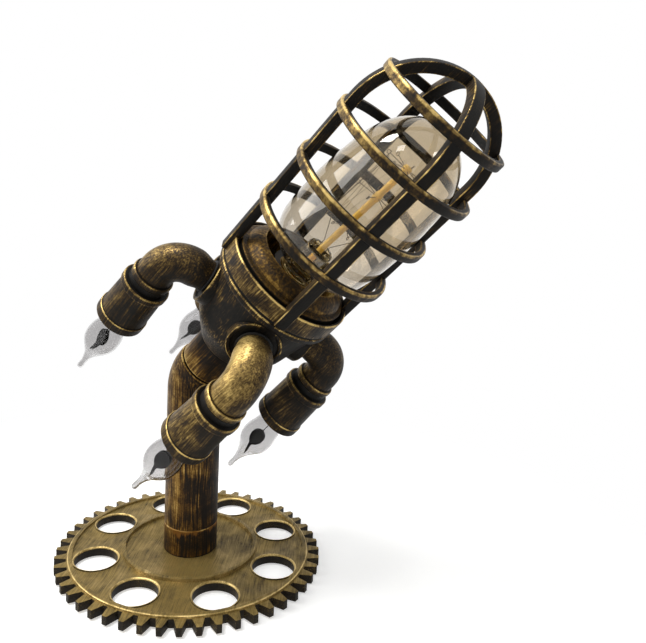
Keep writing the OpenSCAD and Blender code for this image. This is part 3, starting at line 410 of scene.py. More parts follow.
def draw_outline(name, points):
    """Draws an outline as a chain of edges in the XZ plane, in edit mode."""
    bpy.ops.object.select_all(action="DESELECT")
    bpy.ops.mesh.primitive_plane_add(size=MM)
    piece = bpy.context.object
    piece.name = piece.data.name = name
    bpy.ops.object.mode_set(mode="EDIT")
    bpy.ops.mesh.select_mode(type="VERT")
    bpy.ops.mesh.select_all(action="SELECT")
    bpy.ops.mesh.merge(type="CENTER")
    spot = Vector()
    for i, (r, z, _) in enumerate(points):
        step = Vector((r * MM, 0, z * MM)) - spot
        if i == 0:
            bpy.ops.transform.translate(value=step)
        else:
            bpy.ops.mesh.extrude_region_move(TRANSFORM_OT_translate={"value": step})
        spot = spot + step
    return piece


def turned(name, points, steps=96):
    """A piece turned on a lathe: an outline of (radius, height, wear) spun round Z."""
    piece = draw_outline(name, points)
    bpy.ops.mesh.select_all(action="SELECT")
    bpy.ops.mesh.spin(steps=steps, angle=tau, center=(0, 0, 0), axis=(0, 0, 1))
    bpy.ops.mesh.select_all(action="SELECT")
    bpy.ops.mesh.remove_doubles(threshold=MERGE)
    bpy.ops.mesh.normals_make_consistent(inside=False)
    bpy.ops.object.mode_set(mode="OBJECT")
    write_wear(piece, points)
    return piece


SOCKET_TOP = 28
PIPE_R, SOCKET_BORE_R, SOCKET_FLOOR_R = 20.3, 18.3, 13
SOCKET_FLOOR = SOCKET_TOP - 8
# The pipes are a warmer brown than the foot, and the lacquer's runs are orange-brown below the seam
WARM = ((0.0, "0e0d0b"), (0.34, "1d1610"), (0.50, "402d15"), (0.64, "6b4e25"), (0.80, "94753d"),
        (1.0, "cdb06c"))
socket_paint = brushed_bronze("socket_lacquered_bronze", (1.2, 60), bronze=-0.07, strokes=0.6,
                              tones=WARM, run=(SOCKET_TOP, "7d5322"))
socket = turned("base_socket_pipe", outline([
    (SOCKET_FLOOR_R, PLATE_TOP, 0, 0, 0), (PIPE_R, PLATE_TOP, 0.4, -0.6, 0),
    (PIPE_R, SOCKET_TOP, 0.5, 0.9, -0.5), (SOCKET_BORE_R, SOCKET_TOP, 0, 0, -0.5),
    (SOCKET_BORE_R, SOCKET_FLOOR, 0, 0, 0), (SOCKET_FLOOR_R, SOCKET_FLOOR, 0, 0, 0)], True))
fit(socket, UPRIGHT, "stand", "bronzed_pipe", socket_paint, "base_socket")


# Column. One length of pipe, bent by 45 degrees near its top, brushed along its length so that
# bronze streaks run up it over the black. Its upper rim is rounded and rubbed bright.
CORNER_Z = 142
BEND_R = 24
BEND_LEG = BEND_R * (2 ** 0.5 - 1)
BEND_Z = CORNER_Z - BEND_LEG
COLUMN_LEG = 3.6
COLUMN_EDGE = 0.5
COLUMN_BORE_R = 18.5
LEAN = radians(45)
ROCKET = Matrix.Translation((0, 0, CORNER_Z * MM)) @ Matrix.Rotation(LEAN, 4, "Y")


def extrude_ring(step, size=1.0, centre=(0, 0, 0)):
    """Draws the selected ring on by a step and scales it about the given centre."""
    bpy.ops.mesh.extrude_region_move(TRANSFORM_OT_translate={"value": step})
    if size != 1.0:
        bpy.ops.transform.resize(value=(size,) * 3, center_override=centre)


def close_ends(piece):
    """Fills the open ends of a pipe, merges its seams and turns its faces outwards."""
    bpy.ops.mesh.select_all(action="SELECT")
    bpy.ops.mesh.remove_doubles(threshold=MERGE)
    bpy.ops.mesh.fill_holes(sides=0)
    bpy.ops.mesh.select_all(action="SELECT")
    bpy.ops.mesh.normals_make_consistent(inside=False)
    bpy.ops.object.mode_set(mode="OBJECT")


def pipe_start(name, radius, place, turn=(0, 0, 0), vertices=96):
    """An open ring in edit mode, from which a pipe is drawn."""
    bpy.ops.object.select_all(action="DESELECT")
    bpy.ops.mesh.primitive_circle_add(vertices=vertices, radius=radius * MM, location=place,
                                      rotation=turn)
    piece = bpy.context.object
    piece.name = piece.data.name = name
    bpy.ops.object.transform_apply(location=True, rotation=True, scale=True)
    bpy.ops.object.mode_set(mode="EDIT")
    bpy.ops.mesh.select_mode(type="EDGE")
    bpy.ops.mesh.select_all(action="SELECT")
    return piece


column = pipe_start("column_tube", PIPE_R - COLUMN_EDGE, (0, 0, SOCKET_TOP * MM))
height, radius = SOCKET_TOP, PIPE_R - COLUMN_EDGE
for to in (SOCKET_TOP + COLUMN_EDGE, BEND_Z):
    extrude_ring((0, 0, (to - height) * MM), PIPE_R / radius, (0, 0, to * MM))
    height, radius = to, PIPE_R
bpy.ops.mesh.spin(steps=24, angle=-LEAN, center=(BEND_R * MM, 0, BEND_Z * MM), axis=(0, 1, 0))
ALONG = Vector((0.5 ** 0.5, 0, 0.5 ** 0.5))
COLUMN_END = BEND_LEG + COLUMN_LEG
# The rounded rim and the dark step inside it: radius, height along the rocket and wear
RIM = [(PIPE_R, COLUMN_END - 1.2, 0.15), (PIPE_R - 0.1, COLUMN_END - 0.6, 0.8),
       (PIPE_R - 0.4, COLUMN_END - 0.2, 0.9), (PIPE_R - 0.9, COLUMN_END, 0.5),
       (COLUMN_BORE_R + 0.2, COLUMN_END, -1.0), (COLUMN_BORE_R, COLUMN_END - 2, -1.0)]
height, radius = BEND_LEG, PIPE_R
for wide, to, _ in RIM:
    extrude_ring(ALONG * (to - height) * MM, wide / radius, ROCKET @ Vector((0, 0, to * MM)))
    height, radius = to, wide
close_ends(column)
wear = column.data.attributes.new("wear", "FLOAT", "POINT")
to_rocket = ROCKET.inverted()
for point, vertex in zip(wear.data, column.data.vertices):
    seen = to_rocket @ vertex.co / MM
    if seen.z > COLUMN_END - 2.3:
        point.value = min(RIM, key=lambda p: hypot(hypot(seen.x, seen.y) - p[0], seen.z - p[1]))[2]
    elif vertex.co.z < (SOCKET_TOP + COLUMN_EDGE + 0.1) * MM or vertex.co.z > (BEND_Z - 2) * MM:
        point.value = 0.5
# Long brown streaks with hardly any patches; painted light makes the faces towards the lamps, on the left
# and up the bend, more golden
column_paint = brushed_bronze("pipe_brushed_lengthwise", (0.8, 150), bronze=-0.3, strokes=0.8,
                              mottle=0.2, lit=0.25, tones=WARM)
fit(column, UPRIGHT, "stand", "bronzed_pipe", column_paint, "column_pipe")


# Neck sleeve. A short, slightly slimmer pipe from the column's rim to the hub, with a dark gap
# where it leaves the column.
HUB_T = COLUMN_END + 28.5
ROCKET_TURN = (0, LEAN, 0)
SLEEVE_R, SLEEVE_BORE_R, SLEEVE_PLUG_R = 19.3, 15, 17.7
NECK_GAP_R, NECK_DEPTH, PLUG = 18.3, 2.5, 2.9
sleeve = turned("neck_pipe", outline([
    (SLEEVE_BORE_R, COLUMN_END - NECK_DEPTH, 0, 0, -1), (NECK_GAP_R, COLUMN_END - NECK_DEPTH, 0, 0, -1),
    (NECK_GAP_R, COLUMN_END + 0.9, 0, 0, -1), (SLEEVE_R, COLUMN_END + 1.2, 0.4, 0.6, 0.1),
    (SLEEVE_R, HUB_T, 0, 0, -0.6), (SLEEVE_PLUG_R, HUB_T, 0, 0, 0),
    (SLEEVE_PLUG_R, HUB_T + PLUG, 0, 0, 0), (SLEEVE_BORE_R, HUB_T + PLUG, 0, 0, 0)], True))
# More golden than the column, in streaks along the rocket
sleeve_paint = brushed_bronze("sleeve_brushed_bronze", (0.9, 80), ROCKET_TURN, bronze=0.06, strokes=0.6,
                              tones=WARM)
fit(sleeve, ROCKET, "stand", "bronzed_pipe", sleeve_paint, "neck_sleeve")


# Hub. A moulded four-way pipe fitting: a cone that widens to a lipped top, with four round
# sockets for the arms. Each socket has a raised rim round a dark, recessed face.
HUB_TOP = HUB_T + 63
HUB_LIP_R = 47
BRANCH_T = HUB_T + 38
HEAD_TURN = radians(42)
BOSS_R, BOSS_REACH = 18.5, 42.5
BOSS_FLOOR = BOSS_REACH - 1.6
HUB_LINE = outline([
    (0, HUB_T, 0, 0, -0.3), (22.5, HUB_T, 1.0, 0.75, 0), (36.5, HUB_T + 18, 5.0, 0.0, -0.2),
    (43, HUB_TOP - 6, 1.5, -0.2, -0.2), (HUB_LIP_R, HUB_TOP - 4, 0.7, 0.1, -0.15),
    (HUB_LIP_R, HUB_TOP, 0.8, 0.6, -0.8), (44, HUB_TOP, 0, 0, -1), (0, HUB_TOP, 0, 0, -1)])
BOSS_LINE = outline([
    (0, 8, 0, 0, 0), (BOSS_R, 8, 0, 0, 0), (BOSS_R, BOSS_REACH, 0.7, 0.6, 0.0),
    (16.2, BOSS_REACH, 0.6, 0.1, -0.5), (15.4, BOSS_FLOOR, 0, 0, -0.5), (0, BOSS_FLOOR, 0, 0, -0.5)])
hub = turned("hub_fitting", HUB_LINE, 128)
boss = turned("arm_socket", BOSS_LINE, 72)
for k in range(4):
    socket = boss.copy()
    socket.data = boss.data.copy()
    scene.collection.objects.link(socket)
    chosen(socket)
    quarter = Matrix.Rotation(HEAD_TURN + k * pi / 2, 4, "Z")
    socket.matrix_world = (Matrix.Translation((0, 0, BRANCH_T * MM)) @ quarter
                           @ Matrix.Rotation(pi / 2, 4, "Y"))
    bpy.ops.object.transform_apply(location=True, rotation=True, scale=True)
    joint = hub.modifiers.new("arm_socket", "BOOLEAN")
    joint.operation = "UNION"
    joint.solver = "EXACT"
    joint.object = socket
    chosen(hub)
    bpy.ops.object.modifier_apply(modifier=joint.name)
    bpy.data.objects.remove(socket)
bpy.data.objects.remove(boss)
# Where the sockets meet the cone, the wear is taken from whichever of the two is on the outside
flank = [point for point in HUB_LINE if point[0] > 20 and point[1] < HUB_TOP]
for mark, vertex in zip(hub.data.attributes["wear"].data, hub.data.vertices):
    x, y, z = vertex.co / MM
    cone = np.interp(z, [point[1] for point in flank], [point[0] for point in flank])
    line, spot = HUB_LINE, (hypot(x, y), z)
    if hypot(x, y) > cone + 0.05 and abs(z - BRANCH_T) < BOSS_R + 0.5:
        nearest = round((atan2(y, x) - HEAD_TURN) / (pi / 2))
        x, y = Matrix.Rotation(-HEAD_TURN - nearest * pi / 2, 2) @ Vector((x, y))
        line, spot = BOSS_LINE, (hypot(y, z - BRANCH_T), x)
    mark.value = min(line, key=lambda point: hypot(spot[0] - point[0], spot[1] - point[1]))[2]
# Darker than the pipes, with short streaks; painted light makes the faces on the left, towards the lamps,
# lighter
head_paint = brushed_bronze("fitting_brushed_bronze", (0.8, 35), ROCKET_TURN, bronze=-0.14, strokes=0.8,
                            lit=0.2)
fit(hub, ROCKET, "stand", "bronzed_pipe", head_paint, "hub")


# Inside the hub. Friction washers behind the arms, the flex and its terminal block, and the
# lampholder on its bracket: phenolic body, brass screw shell and centre contact.
# Black phenolic with a soft gloss, shiny off-white ceramic and yellow brass
phenolic = plain_finish("moulded_black_phenolic", ("100d0b", "1c1713"), 1.2, 0.45)
ceramic = plain_finish("glazed_ceramic", ("d6cfbf", "e6e0d2"), 2.0, 0.25)
brass = plain_finish("stamped_brass", ("a9884a", "c4a566"), 1.5, 0.3, metal=1.0)
for node, finish in (("arm_washers", rubber), ("lamp_flex", rubber), ("terminal_block", ceramic),
                     ("holder_bracket", zinc), ("bracket_screws", zinc), ("holder_body", phenolic),
                     ("holder_shell", brass), ("holder_contact", brass), ("bulb_cap", brass)):
    refinish(node, finish)


# Holder cover. A shallow spun brass cover inside the collar with the bulb's neck in its opening.
# Outside it is painted and mottled; inside it is rubbed nearly bare.
COVER_R, COVER_BORE_R, COVER_MOUTH_R = 42.5, 40.9, 30.5
cover = turned("holder_cover", outline([
    (COVER_BORE_R, HUB_TOP, 0, 0, 0.5), (COVER_R, HUB_TOP, 0, 0, -1),
    (COVER_R, HUB_TOP + 15.6, 0.6, 0.0, -0.1), (39.2, HUB_TOP + 16.2, 0.3, -0.1, 0.0),
    (39.0, HUB_TOP + 18.2, 1.2, 0.2, 0.0), (36.0, HUB_TOP + 23.0, 5, 0.0, 0.0),
    (COVER_MOUTH_R, HUB_TOP + 26, 0.7, 0.4, 0.4), (COVER_MOUTH_R, HUB_TOP + 24.4, 0.4, 0.6, 0.8),
    (35.0, HUB_TOP + 21.4, 4, 0.8, 0.8), (37.4, HUB_TOP + 14.6, 0, 0, 0.8),
    (COVER_BORE_R, HUB_TOP + 14.0, 0, 0, 0.5)], True), 128)
# Brassy patches over brown, in short dabs rather than streaks
COVER_TONES = ((0.0, "0e0d0b"), (0.34, "241a0d"), (0.50, "4a3615"), (0.64, "6f5425"), (0.80, "937539"),
               (1.0, "cdb06c"))
cover_paint = brushed_bronze("cover_mottled_bronze", (1.6, 7), ROCKET_TURN, bronze=-0.06, strokes=0.4,
                             mottle=0.7, lit=0.05, tones=COVER_TONES)
fit(cover, ROCKET, "stand", "bronzed_cage", cover_paint, "holder_cap")


# Large bulb. Amber glass blown to a long rounded shape. A glass press in the neck holds two lead
# wires and a long rod; fine hooks stand out from the rod and carry the filament up and down.
SEAT_T = HUB_T + 43
SAG = radians(3)
RIM_Z = 37.3
BULB = (ROCKET @ Matrix.Translation((0, 0, SEAT_T * MM)) @ Matrix.Rotation(SAG, 4, "Y")
        @ Matrix.Translation((0, 0, RIM_Z * MM)))
BULB_R, BULB_NECK_R, BULB_H, BULB_WALL = 37.5, 13, 132, 1.0


def curve(start, pull, push, end, count):
    """Points of a cubic curve, without its last one, from start towards pull and from push to end."""
    spots = []
    for i in range(count):
        on = i / count
        left = 1 - on
        spot = (Vector(start) * left ** 3 + Vector(pull) * 3 * left * left * on
                + Vector(push) * 3 * left * on * on + Vector(end) * on ** 3)
        spots.append((*spot, 0.0))
    return spots


TINT_FROM, TINT_TO = 220 * MM, 290 * MM
RIPPLE_LONG = 18


def glass(name, tint, clear=1.0, ripple_mm=0.4, bend=1.45, neck_tint=None):
    """Blown or drawn glass, tinted all through, along the rocket's axis from neck_tint if there is
    one; less than fully clear, it is milky. bend is its refractive index, lower for thin glass."""
    finish = bpy.data.materials.new(name)
    finish.use_nodes = True
    tree = finish.node_tree
    tree.nodes.clear()
    spot = add(tree, "ShaderNodeTexCoord", {}, "Object")
    colour = linear(tint)
    if neck_tint:
        up = add(tree, "ShaderNodeVectorMath", {0: spot, 1: ALONG}, "Value", operation="DOT_PRODUCT")
        share = add(tree, "ShaderNodeMapRange", {"Value": up, "From Min": TINT_FROM, "From Max": TINT_TO})
        colour = add(tree, "ShaderNodeValToRGB", {"Fac": share},
                     stops=[(0.0, linear(neck_tint)), (1.0, linear(tint))])
    inputs = {"Base Color": colour, "Roughness": 0.0, "IOR": bend, "Transmission Weight": clear}
    if ripple_mm:
        ripple = add(tree, "ShaderNodeTexNoise", {"Vector": spot, "Scale": 1 / (RIPPLE_LONG * MM),
                                                   "Detail": 1.0})
        inputs["Normal"] = add(tree, "ShaderNodeBump", {"Strength": 0.08, "Distance": ripple_mm * MM,
                                                         "Height": ripple})
    add(tree, "ShaderNodeOutputMaterial", {"Surface": add(tree, "ShaderNodeBsdfPrincipled", inputs)})
    return finish


def bulb_line(inset):
    """Outline of the large bulb, or of its inside when set in by the glass: neck, side and crown."""
    belly, neck, top = BULB_R - inset, BULB_NECK_R - inset, BULB_H
    return (curve((neck, 0), (neck, 8.7), (belly - 8, 6.5), (belly - 2, 26), 14)
            + curve((belly - 2, 26), (belly + 1, 36.4), (belly + 1, top - 66), (belly - 2, top - 44), 14)
            + curve((belly - 2, top - 44), (belly - 4, top - 17.6), (belly / 2, top - inset),
                    (0, top - inset), 24)
            + [(0, top - inset, 0.0)])


# Clear with a faint amber tint, which is weaker at the neck
amber = glass("blown_amber_glass", "d8cdb9", neck_tint="dcd8d2")
shell = bulb_line(0) + bulb_line(BULB_WALL)[::-1]
envelope = turned("bulb_envelope", shell + [shell[0]], 112)
fit(envelope, BULB, "main_bulb", "amber_glass", amber, "bulb_glass")

PRESS_H = 24
ROD_TOP = PRESS_H + 78
ROD_R, ROD_UPPER_R, BEAD_R, BUTTON_R = 2.3, 2.2, 2.9, 3.1
# The rod is milky and straw-yellow; the press is clear and paler
amber_rod = glass("drawn_amber_glass_rod", "efd27c", 0.4)
amber_press = glass("pressed_amber_glass", "f3e4b4")
stem = turned("bulb_stem_glass", outline([
    (0, 13, 0, 0, 0), (ROD_R, 13, 0.5, 0, 0), (ROD_R, ROD_TOP - 30, 0, 0, 0),
    (BEAD_R, ROD_TOP - 28, 1.0, 0, 0), (BEAD_R, ROD_TOP - 25, 1.0, 0, 0),
    (ROD_UPPER_R, ROD_TOP - 23, 0, 0, 0), (ROD_UPPER_R, ROD_TOP - 5, 0, 0, 0),
    (BUTTON_R, ROD_TOP - 3.4, 1.0, 0, 0), (BUTTON_R, ROD_TOP - 1.0, 1.0, 0, 0),
    (2.0, ROD_TOP, 0.8, 0, 0), (0, ROD_TOP, 0, 0, 0)]), 40)
fit(stem, BULB, "main_bulb", "amber_glass", amber_rod, "bulb_stem")
# The press is moulded with twelve soft flats
tube = turned("bulb_stem_tube", outline([
    (9.6, 0.3, 0, 0, 0), (11.6, 0.3, 0.6, 0, 0), (11.2, 1.8, 0.8, 0, 0), (8.6, 5, 2.0, 0, 0),
    (8.8, 10, 0, 0, 0), (10.2, 12, 1.2, 0, 0), (9.6, PRESS_H - 2, 1.5, 0, 0),
    (9.9, PRESS_H - 0.6, 0.6, 0, 0), (9.2, PRESS_H + 0.8, 0.8, 0, 0), (7.4, PRESS_H + 1, 0.6, 0, 0),
    (6.0, PRESS_H - 3, 1.5, 0, 0), (2.6, PRESS_H - 4, 0.5, 0, 0), (2.6, 14, 0.5, 0, 0),
    (6.4, 11, 1.5, 0, 0)], True), 12)
fit(tube, BULB, "main_bulb", "amber_glass", amber_press)


def bent_wires(name, runs, thick, resolution=3):
    """Wires bent through the given points, in millimetres, as one mesh."""
    path = bpy.data.curves.new(name, "CURVE")
    path.dimensions = "3D"
    path.bevel_depth = thick / 2 * MM
    path.bevel_resolution = resolution
    path.use_fill_caps = True
    for run in runs:
        line = path.splines.new("POLY")
        line.points.add(len(run) - 1)
        for point, place in zip(line.points, run):
            point.co = (*(Vector(place) * MM), 1)
    piece = bpy.data.objects.new(name, path)
    scene.collection.objects.link(piece)
    chosen(piece)
    bpy.ops.object.convert(target="MESH")
    return bpy.context.object


def around(radius, angle, height):
    """A point at a radius and an angle in degrees round the bulb's axis."""
    return Matrix.Rotation(radians(angle), 3, "Z") @ Vector((radius, 0, height))


HOOKS = 7
HIGH_HOOKS, MIDDLE_HOOKS, LOW_HOOKS = ROD_TOP - 2.2, ROD_TOP - 26.5, PRESS_H + 24
EYE_R = 1.2
EYE_TURNS = [i * tau / 10 for i in range(11)]
runs = []
for height, first, reach in ((HIGH_HOOKS, 0, 14), (MIDDLE_HOOKS, 20, 15), (LOW_HOOKS, 5, 14)):
    for i in range(HOOKS):
        turn = first + i * 360 / HOOKS
        eye = [around(reach + EYE_R * (1 - cos(bend)), turn, height + EYE_R * sin(bend))
               for bend in EYE_TURNS]
        runs.append([around(2.0, turn, height)] + eye)
# The wires are drawn thicker than real ones, which would be too fine to show
HOOK_WIRE, FILAMENT_WIRE = 0.5, 0.34
hooks = bent_wires("filament_hooks", runs, HOOK_WIRE)
# Grey-brown metal with a weak shine, which shows as thin dark lines in the glass
wire = plain_finish("molybdenum_wire", ("4a4034", "6a5b46"), 0.6, 0.4, metal=1.0)
fit(hooks, BULB, "main_bulb", "filament_wire", wire)
FILAMENT_R, FILAMENT_SKEW = 15.2, 5
zigzag = []
for i in range(HOOKS * 2 + 1):
    turn = i * 180 / HOOKS
    if i % 2:
        zigzag.append(around(FILAMENT_R, turn, HIGH_HOOKS))
    else:
        zigzag.append(around(FILAMENT_R, turn + FILAMENT_SKEW, LOW_HOOKS))
filament = bent_wires("carbon_filament", [zigzag], FILAMENT_WIRE)
fit(filament, BULB, "main_bulb", "filament_wire", wire, "bulb_filament")
leads = []
for side in (-1, 1):
    leads.append([(side * 3.0, 0, PRESS_H - 2), (side * 3.4, 0, PRESS_H + 6),
                  (side * 9, side * 2, PRESS_H + 17), (side * 14, side * 1.2, LOW_HOOKS)])
lead_wires = bent_wires("lead_wires", leads, HOOK_WIRE)
fit(lead_wires, BULB, "main_bulb", "filament_wire", wire)


# Guard cage. A collar that stands on the hub, two arches of flat bar that cross at the nose, and
# four hoops round them. All is painted black; bronze lies on the hoops and along the edges.
COLLAR_BORE_R, COLLAR_GROOVE_R = 45, 46.2
COLLAR_FOOT, COLLAR_TOP = HUB_TOP + 2, HUB_TOP + 14.5
collar = turned("cage_collar_band", outline([
    (COLLAR_BORE_R, HUB_TOP, 0, 0, -1), (COLLAR_GROOVE_R, HUB_TOP, 0, 0, -1),
    (COLLAR_GROOVE_R, COLLAR_FOOT, 0, 0, -1), (HUB_LIP_R, COLLAR_FOOT, 0.4, 0.2, 0.1),
    (HUB_LIP_R, COLLAR_TOP, 0.7, 0.85, -0.7), (COLLAR_BORE_R, COLLAR_TOP, 0.5, -0.4, -1)], True), 128)
# Collar and bars are mostly black, with short bronze streaks and bright edges
cage_paint = brushed_bronze("cage_brushed_bronze", (0.8, 16), ROCKET_TURN, bronze=-0.02, strokes=0.5)
fit(collar, ROCKET, "cage", "bronzed_cage", cage_paint, "cage_collar")

STRAP_IN, STRAP_OUT, STRAP_W = 43.2, 50, 8
HOOP_T, HOOP_STEP = HUB_TOP + 47.7, 36.8
NOSE_T = HOOP_T + 2 * HOOP_STEP + 8


def strap(name, turn, sweep):
    """Flat bar set on edge, from the collar up one side and over the nose by the angle sweep."""
    half, rise = STRAP_W / 2, (NOSE_T - COLLAR_FOOT) * MM
    piece = draw_outline(name, [(STRAP_IN, -half, 0), (STRAP_OUT, -half, 0), (STRAP_OUT, half, 0),
                                (STRAP_IN, half, 0)])
    bpy.ops.mesh.select_all(action="SELECT")
    bpy.ops.mesh.edge_face_add()
    bpy.ops.transform.rotate(value=pi / 2, orient_axis="X", center_override=(0, 0, 0))
    bpy.ops.transform.translate(value=(0, 0, COLLAR_FOOT * MM))
    bpy.ops.mesh.select_mode(type="FACE")
    bpy.ops.mesh.extrude_region_move(TRANSFORM_OT_translate={"value": (0, 0, rise)})
    bpy.ops.mesh.spin(steps=int(sweep / radians(4)), angle=sweep, center=(0, 0, NOSE_T * MM),
                      axis=(0, 1, 0))
    if sweep > pi / 2 + 0.01:
        bpy.ops.mesh.extrude_region_move(TRANSFORM_OT_translate={"value": (0, 0, -rise)})
    bpy.ops.mesh.select_all(action="SELECT")
    bpy.ops.mesh.remove_doubles(threshold=MERGE)
    bpy.ops.mesh.normals_make_consistent(inside=False)
    bpy.ops.object.mode_set(mode="OBJECT")
    # The bar's flat sides are painted less dark than its outer and inner faces: painted light on the
    # sides that face the lamps
    rub_edges(piece, width=0.6, edge=0.4, least=50,
              broad=lambda side: -0.3 if abs(side.normal.y) > 0.5 else -0.6)
    chosen(piece)
    piece.matrix_world = Matrix.Rotation(turn, 4, "Z")
    bpy.ops.object.transform_apply(location=True, rotation=True, scale=True)
    return piece


arch = strap("cage_arch_long", HEAD_TURN, pi)
fit(arch, ROCKET, "cage", "bronzed_cage", cage_paint, "cage_arch_a")
# The other arch is two halves that stop at the first one's sides
short = pi / 2 - STRAP_W / 2 / STRAP_OUT * 0.98
halves = [strap("cage_arch_cross", HEAD_TURN + pi / 2 + side, short) for side in (0, pi)]
chosen(halves[0])
halves[1].select_set(True)
bpy.ops.object.join()
fit(halves[0], ROCKET, "cage", "bronzed_cage", cage_paint, "cage_arch_b")

HOOP_OUT, HOOP_IN, HOOP_W = 51.4, 47.0, 6.0
# Rubbed in short dabs, so bronze lies in patches; painted light makes the faces towards the lamps lighter
hoop_paint = brushed_bronze("hoop_rubbed_bronze", (2.4, 4), bronze=-0.1, strokes=0.3, mottle=0.9,
                            lit=0.25)
NOSE_HOOP_T = HOOP_T + 2 * HOOP_STEP + 32.5
NOSE_HOOP_OUT = (STRAP_OUT ** 2 - (NOSE_HOOP_T - NOSE_T) ** 2) ** 0.5 + HOOP_OUT - STRAP_OUT
hoops = [(HOOP_T + HOOP_STEP * i, HOOP_OUT, "cage_hoop_%d" % (i + 1)) for i in range(3)]
for middle, outer, node in hoops + [(NOSE_HOOP_T, NOSE_HOOP_OUT, "cage_hoop_nose")]:
    low, high = middle - HOOP_W / 2, middle + HOOP_W / 2
    inner = outer - (HOOP_OUT - HOOP_IN)
    hoop = turned(node.replace("cage_hoop", "cage_ring"), outline([
        (inner, low, 0.6, -0.3, -0.6), (outer, low, 1.3, 0.2, 0.15), (outer, high, 1.3, 0.7, -0.5),
        (inner, high, 0.6, 0.1, -1.0)], True), 128)
    fit(hoop, ROCKET, "cage", "bronzed_cage", hoop_paint, node)


# Arms. Four elbows turn in the hub's sockets. Each is a moulded pipe bend with a rolled bead at
# its end, and each stands a little out of true, as it was last turned by hand.
ARM_R, NECK_R = 13.35, 11
ELBOW_R = 18
REACH = 72
NECK_FROM = BOSS_REACH - 1.3
# The neck widens to the pipe: distance from the rocket's axis and radius
NECK_FLARE = ((44, 11.1), (47, 11.8), (51, 12.9), (REACH - ELBOW_R, ARM_R))
SWIVEL = {"right": -5, "rear": 1.5, "left": -2, "front": -1}
BEAD_Z = ELBOW_R + 4
ELBOW_END = BEAD_Z + 5
BEAD = [(ARM_R, BEAD_Z, 0.0), (ARM_R, BEAD_Z + 0.2, -0.8), (14.7, BEAD_Z + 0.3, 0.3),
        (15.1, BEAD_Z + 0.7, 0.7), (15.25, BEAD_Z + 1.4, 0.3), (15.25, BEAD_Z + 3.4, -0.1),
        (15.0, BEAD_Z + 4.3, 0.3), (14.6, BEAD_Z + 4.8, 0.0), (13.4, ELBOW_END, -1.0)]
# Brown-black with bronze patches; the front elbow is painted much brighter than the others, as painted
# light where the lamps fall on it
arm_paint = brushed_bronze("elbow_brushed_bronze", (0.9, 20), ROCKET_TURN, bronze=-0.06, strokes=0.45,
                           mottle=0.8, lit=0.18)
front_lit_paint = brushed_bronze("elbow_bronze_painted_light", (0.9, 20), ROCKET_TURN, bronze=0.17, strokes=0.35,
                             mottle=0.9, lit=0.2)
at_arm = {}
for k, arm in enumerate(SWIVEL):
    quarter = Matrix.Rotation(HEAD_TURN + k * pi / 2, 4, "Z")
    at_arm[arm] = (ROCKET @ Matrix.Translation((0, 0, BRANCH_T * MM)) @ quarter
                   @ Matrix.Rotation(radians(SWIVEL[arm]), 4, "X"))
    out, radius = NECK_FROM, NECK_R
    elbow = pipe_start("arm_bend_" + arm, radius, (out * MM, 0, 0), (0, pi / 2, 0), 72)
    for to, wide in NECK_FLARE:
        extrude_ring(((to - out) * MM, 0, 0), wide / radius, (to * MM, 0, 0))
        out, radius = to, wide
    bpy.ops.mesh.spin(steps=24, angle=-pi / 2, center=((REACH - ELBOW_R) * MM, 0, -ELBOW_R * MM),
                      axis=(0, 1, 0))
    radius, depth = ARM_R, ELBOW_R
    for wide, to, _ in BEAD:
        extrude_ring((0, 0, (depth - to) * MM), wide / radius, (REACH * MM, 0, -to * MM))
        radius, depth = wide, to
    close_ends(elbow)
    wear = elbow.data.attributes.new("wear", "FLOAT", "POINT")
    for point, vertex in zip(wear.data, elbow.data.vertices):
        x, y, z = vertex.co / MM
        if -z > BEAD_Z - 0.1:
            off_axis = hypot(x - REACH, y)
            point.value = min(BEAD, key=lambda p: hypot(off_axis - p[0], -z - p[1]))[2]
        elif x < BOSS_REACH - 0.2:
            point.value = -0.9
    paint = front_lit_paint if arm == "front" else arm_paint
    fit(elbow, at_arm[arm], "arm_" + arm, "bronzed_pipe", paint, "elbow_" + arm)


# Lamp cups. One on the end of each elbow: dark groove, raised ring, tapered body and a band at the
# mouth. A ceramic lampholder with a brass contact stands inside.
CUP_BORE_R, CUP_PLUG_R, GROOVE_R, CUP_RING_R, CUP_BAND_R = 5.5, 9, 14.5, 17.7, 18.5
CUP_FOOT, CUP_RING_Z, CUP_FLOOR, CUP_TOP = 19, 32, 38, 70.5
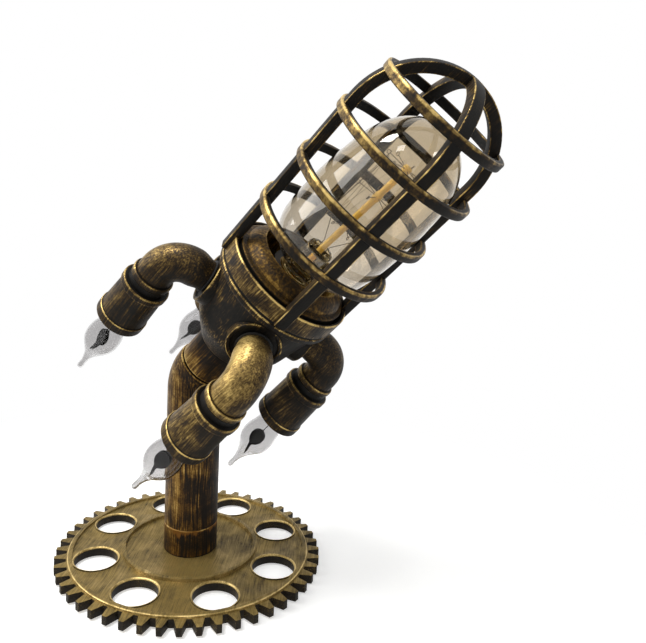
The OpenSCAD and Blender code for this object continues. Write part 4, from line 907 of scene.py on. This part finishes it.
# Bronze streaks along the cup; the cups on the right and on the left are painted darker, as painted shade
cup_paint = brushed_bronze("cup_brushed_bronze", (0.9, 40), ROCKET_TURN, bronze=-0.02, strokes=0.45,
                           mottle=0.8, lit=0.2)
shaded_cup_paint = brushed_bronze("cup_bronze_painted_shade", (0.9, 40), ROCKET_TURN, bronze=-0.08, strokes=0.5,
                                mottle=0.8, lit=0.1)
at_cup = {}
for arm in SWIVEL:
    at_cup[arm] = at_arm[arm] @ Matrix.Translation((REACH * MM, 0, 0)) @ Matrix.Rotation(pi, 4, "X")
    cup = turned("lamp_cup_" + arm, outline([
        (CUP_BORE_R, CUP_FOOT, 0, 0, -1), (CUP_PLUG_R, CUP_FOOT, 0, 0, -1),
        (CUP_PLUG_R, ELBOW_END, 0, 0, -1), (GROOVE_R, ELBOW_END, 0.3, -0.2, -0.7),
        (GROOVE_R, CUP_RING_Z, 0, 0, -0.8),
        (CUP_RING_R, CUP_RING_Z, 0.8, 0.5, 0.0), (CUP_RING_R, CUP_RING_Z + 5, 0.8, 0.25, -0.2),
        (16.5, CUP_RING_Z + 5.4, 0, 0, 0), (17.6, CUP_TOP - 7.2, 0.2, -0.4, -0.4),
        (CUP_BAND_R, CUP_TOP - 7, 0.6, 0.8, -0.05), (CUP_BAND_R, CUP_TOP, 1.4, 0.0, -0.6),
        (16.9, CUP_TOP, 0.5, -0.2, -0.9), (14, CUP_FLOOR, 0, 0, -1),
        (CUP_BORE_R, CUP_FLOOR, 0, 0, -1)], True), 80)
    paint = shaded_cup_paint if arm in ("right", "left") else cup_paint
    fit(cup, at_cup[arm], "arm_" + arm, "bronzed_pipe", paint, "cup_" + arm)
    refinish("small_holder_" + arm, ceramic)
    refinish("small_contact_" + arm, brass)


# Flame bulbs. Clear glass blown to a flame with a drawn-out tail, in a brass screw cap. A small
# glass press in the neck holds two black plates, cut like flames, on their wires.
FLAME_SEAT = 58.3
FLAME_R, FLAME_NECK_R, TAIL_R, FLAME_H, FLAME_WALL = 13, 5.4, 2.3, 77, 0.8
# Nearly colourless and thin, so it bends the view little; the plates are soft black with no shine
clear = glass("blown_clear_glass", "d4d3d3", ripple_mm=0, bend=1.17)
black_plate = plain_finish("black_oxide_plate", ("0f0f0f", "1c1b1b"), 1.0, 0.55)


def flame_line(inset):
    """Outline of a flame bulb, or of its inside when set in by the glass: neck, belly, drawn-out
    tail and rounded tip."""
    belly, neck, tail, top = FLAME_R - inset, FLAME_NECK_R - inset, TAIL_R - inset, FLAME_H
    round_from = top - inset - tail
    tip = [(tail * cosine, round_from + tail * sine, 0.0)
           for cosine, sine in ((1, 0), (0.87, 0.5), (0.5, 0.87))]
    return (curve((neck, 0), (neck, 11.2), (belly - 4.2, 9.3), (belly - 1.4, 28), 14)
            + curve((belly - 1.4, 28), (belly + 0.7, 35.8), (belly + 0.7, 42.6), (belly - 2.8, 47.5), 12)
            + curve((belly - 2.8, 47.5), (belly - 4.9, 52.5), (tail + 0.7, 57.8),
                    (tail - 0.2, top - 7), 18)
            + curve((tail - 0.2, top - 7), (tail - 0.2, top - 6), (tail, top - 5), (tail, round_from), 5)
            + tip + [(0, top - inset, 0.0)])


for arm in SWIVEL:
    at_flame = at_cup[arm] @ Matrix.Translation((0, 0, FLAME_SEAT * MM))
    line = flame_line(0) + flame_line(FLAME_WALL)[::-1]
    flame = turned("flame_bulb_" + arm, line + [line[0]], 72)
    fit(flame, at_flame, "flame_" + arm, "clear_glass", clear, "flame_glass_" + arm)
    press = turned("flame_press_" + arm, outline([
        (0, 0.4, 0, 0, 0), (4.3, 0.4, 0.5, 0, 0), (4.0, 3, 0.8, 0, 0), (2.2, 8.0, 0.8, 0, 0),
        (1.6, 9, 0.5, 0, 0), (0, 9.2, 0, 0, 0)]), 32)
    fit(press, at_flame, "flame_" + arm, "clear_glass", clear)
    refinish("flame_cap_" + arm, brass)
    refinish("flame_plates_" + arm, black_plate)
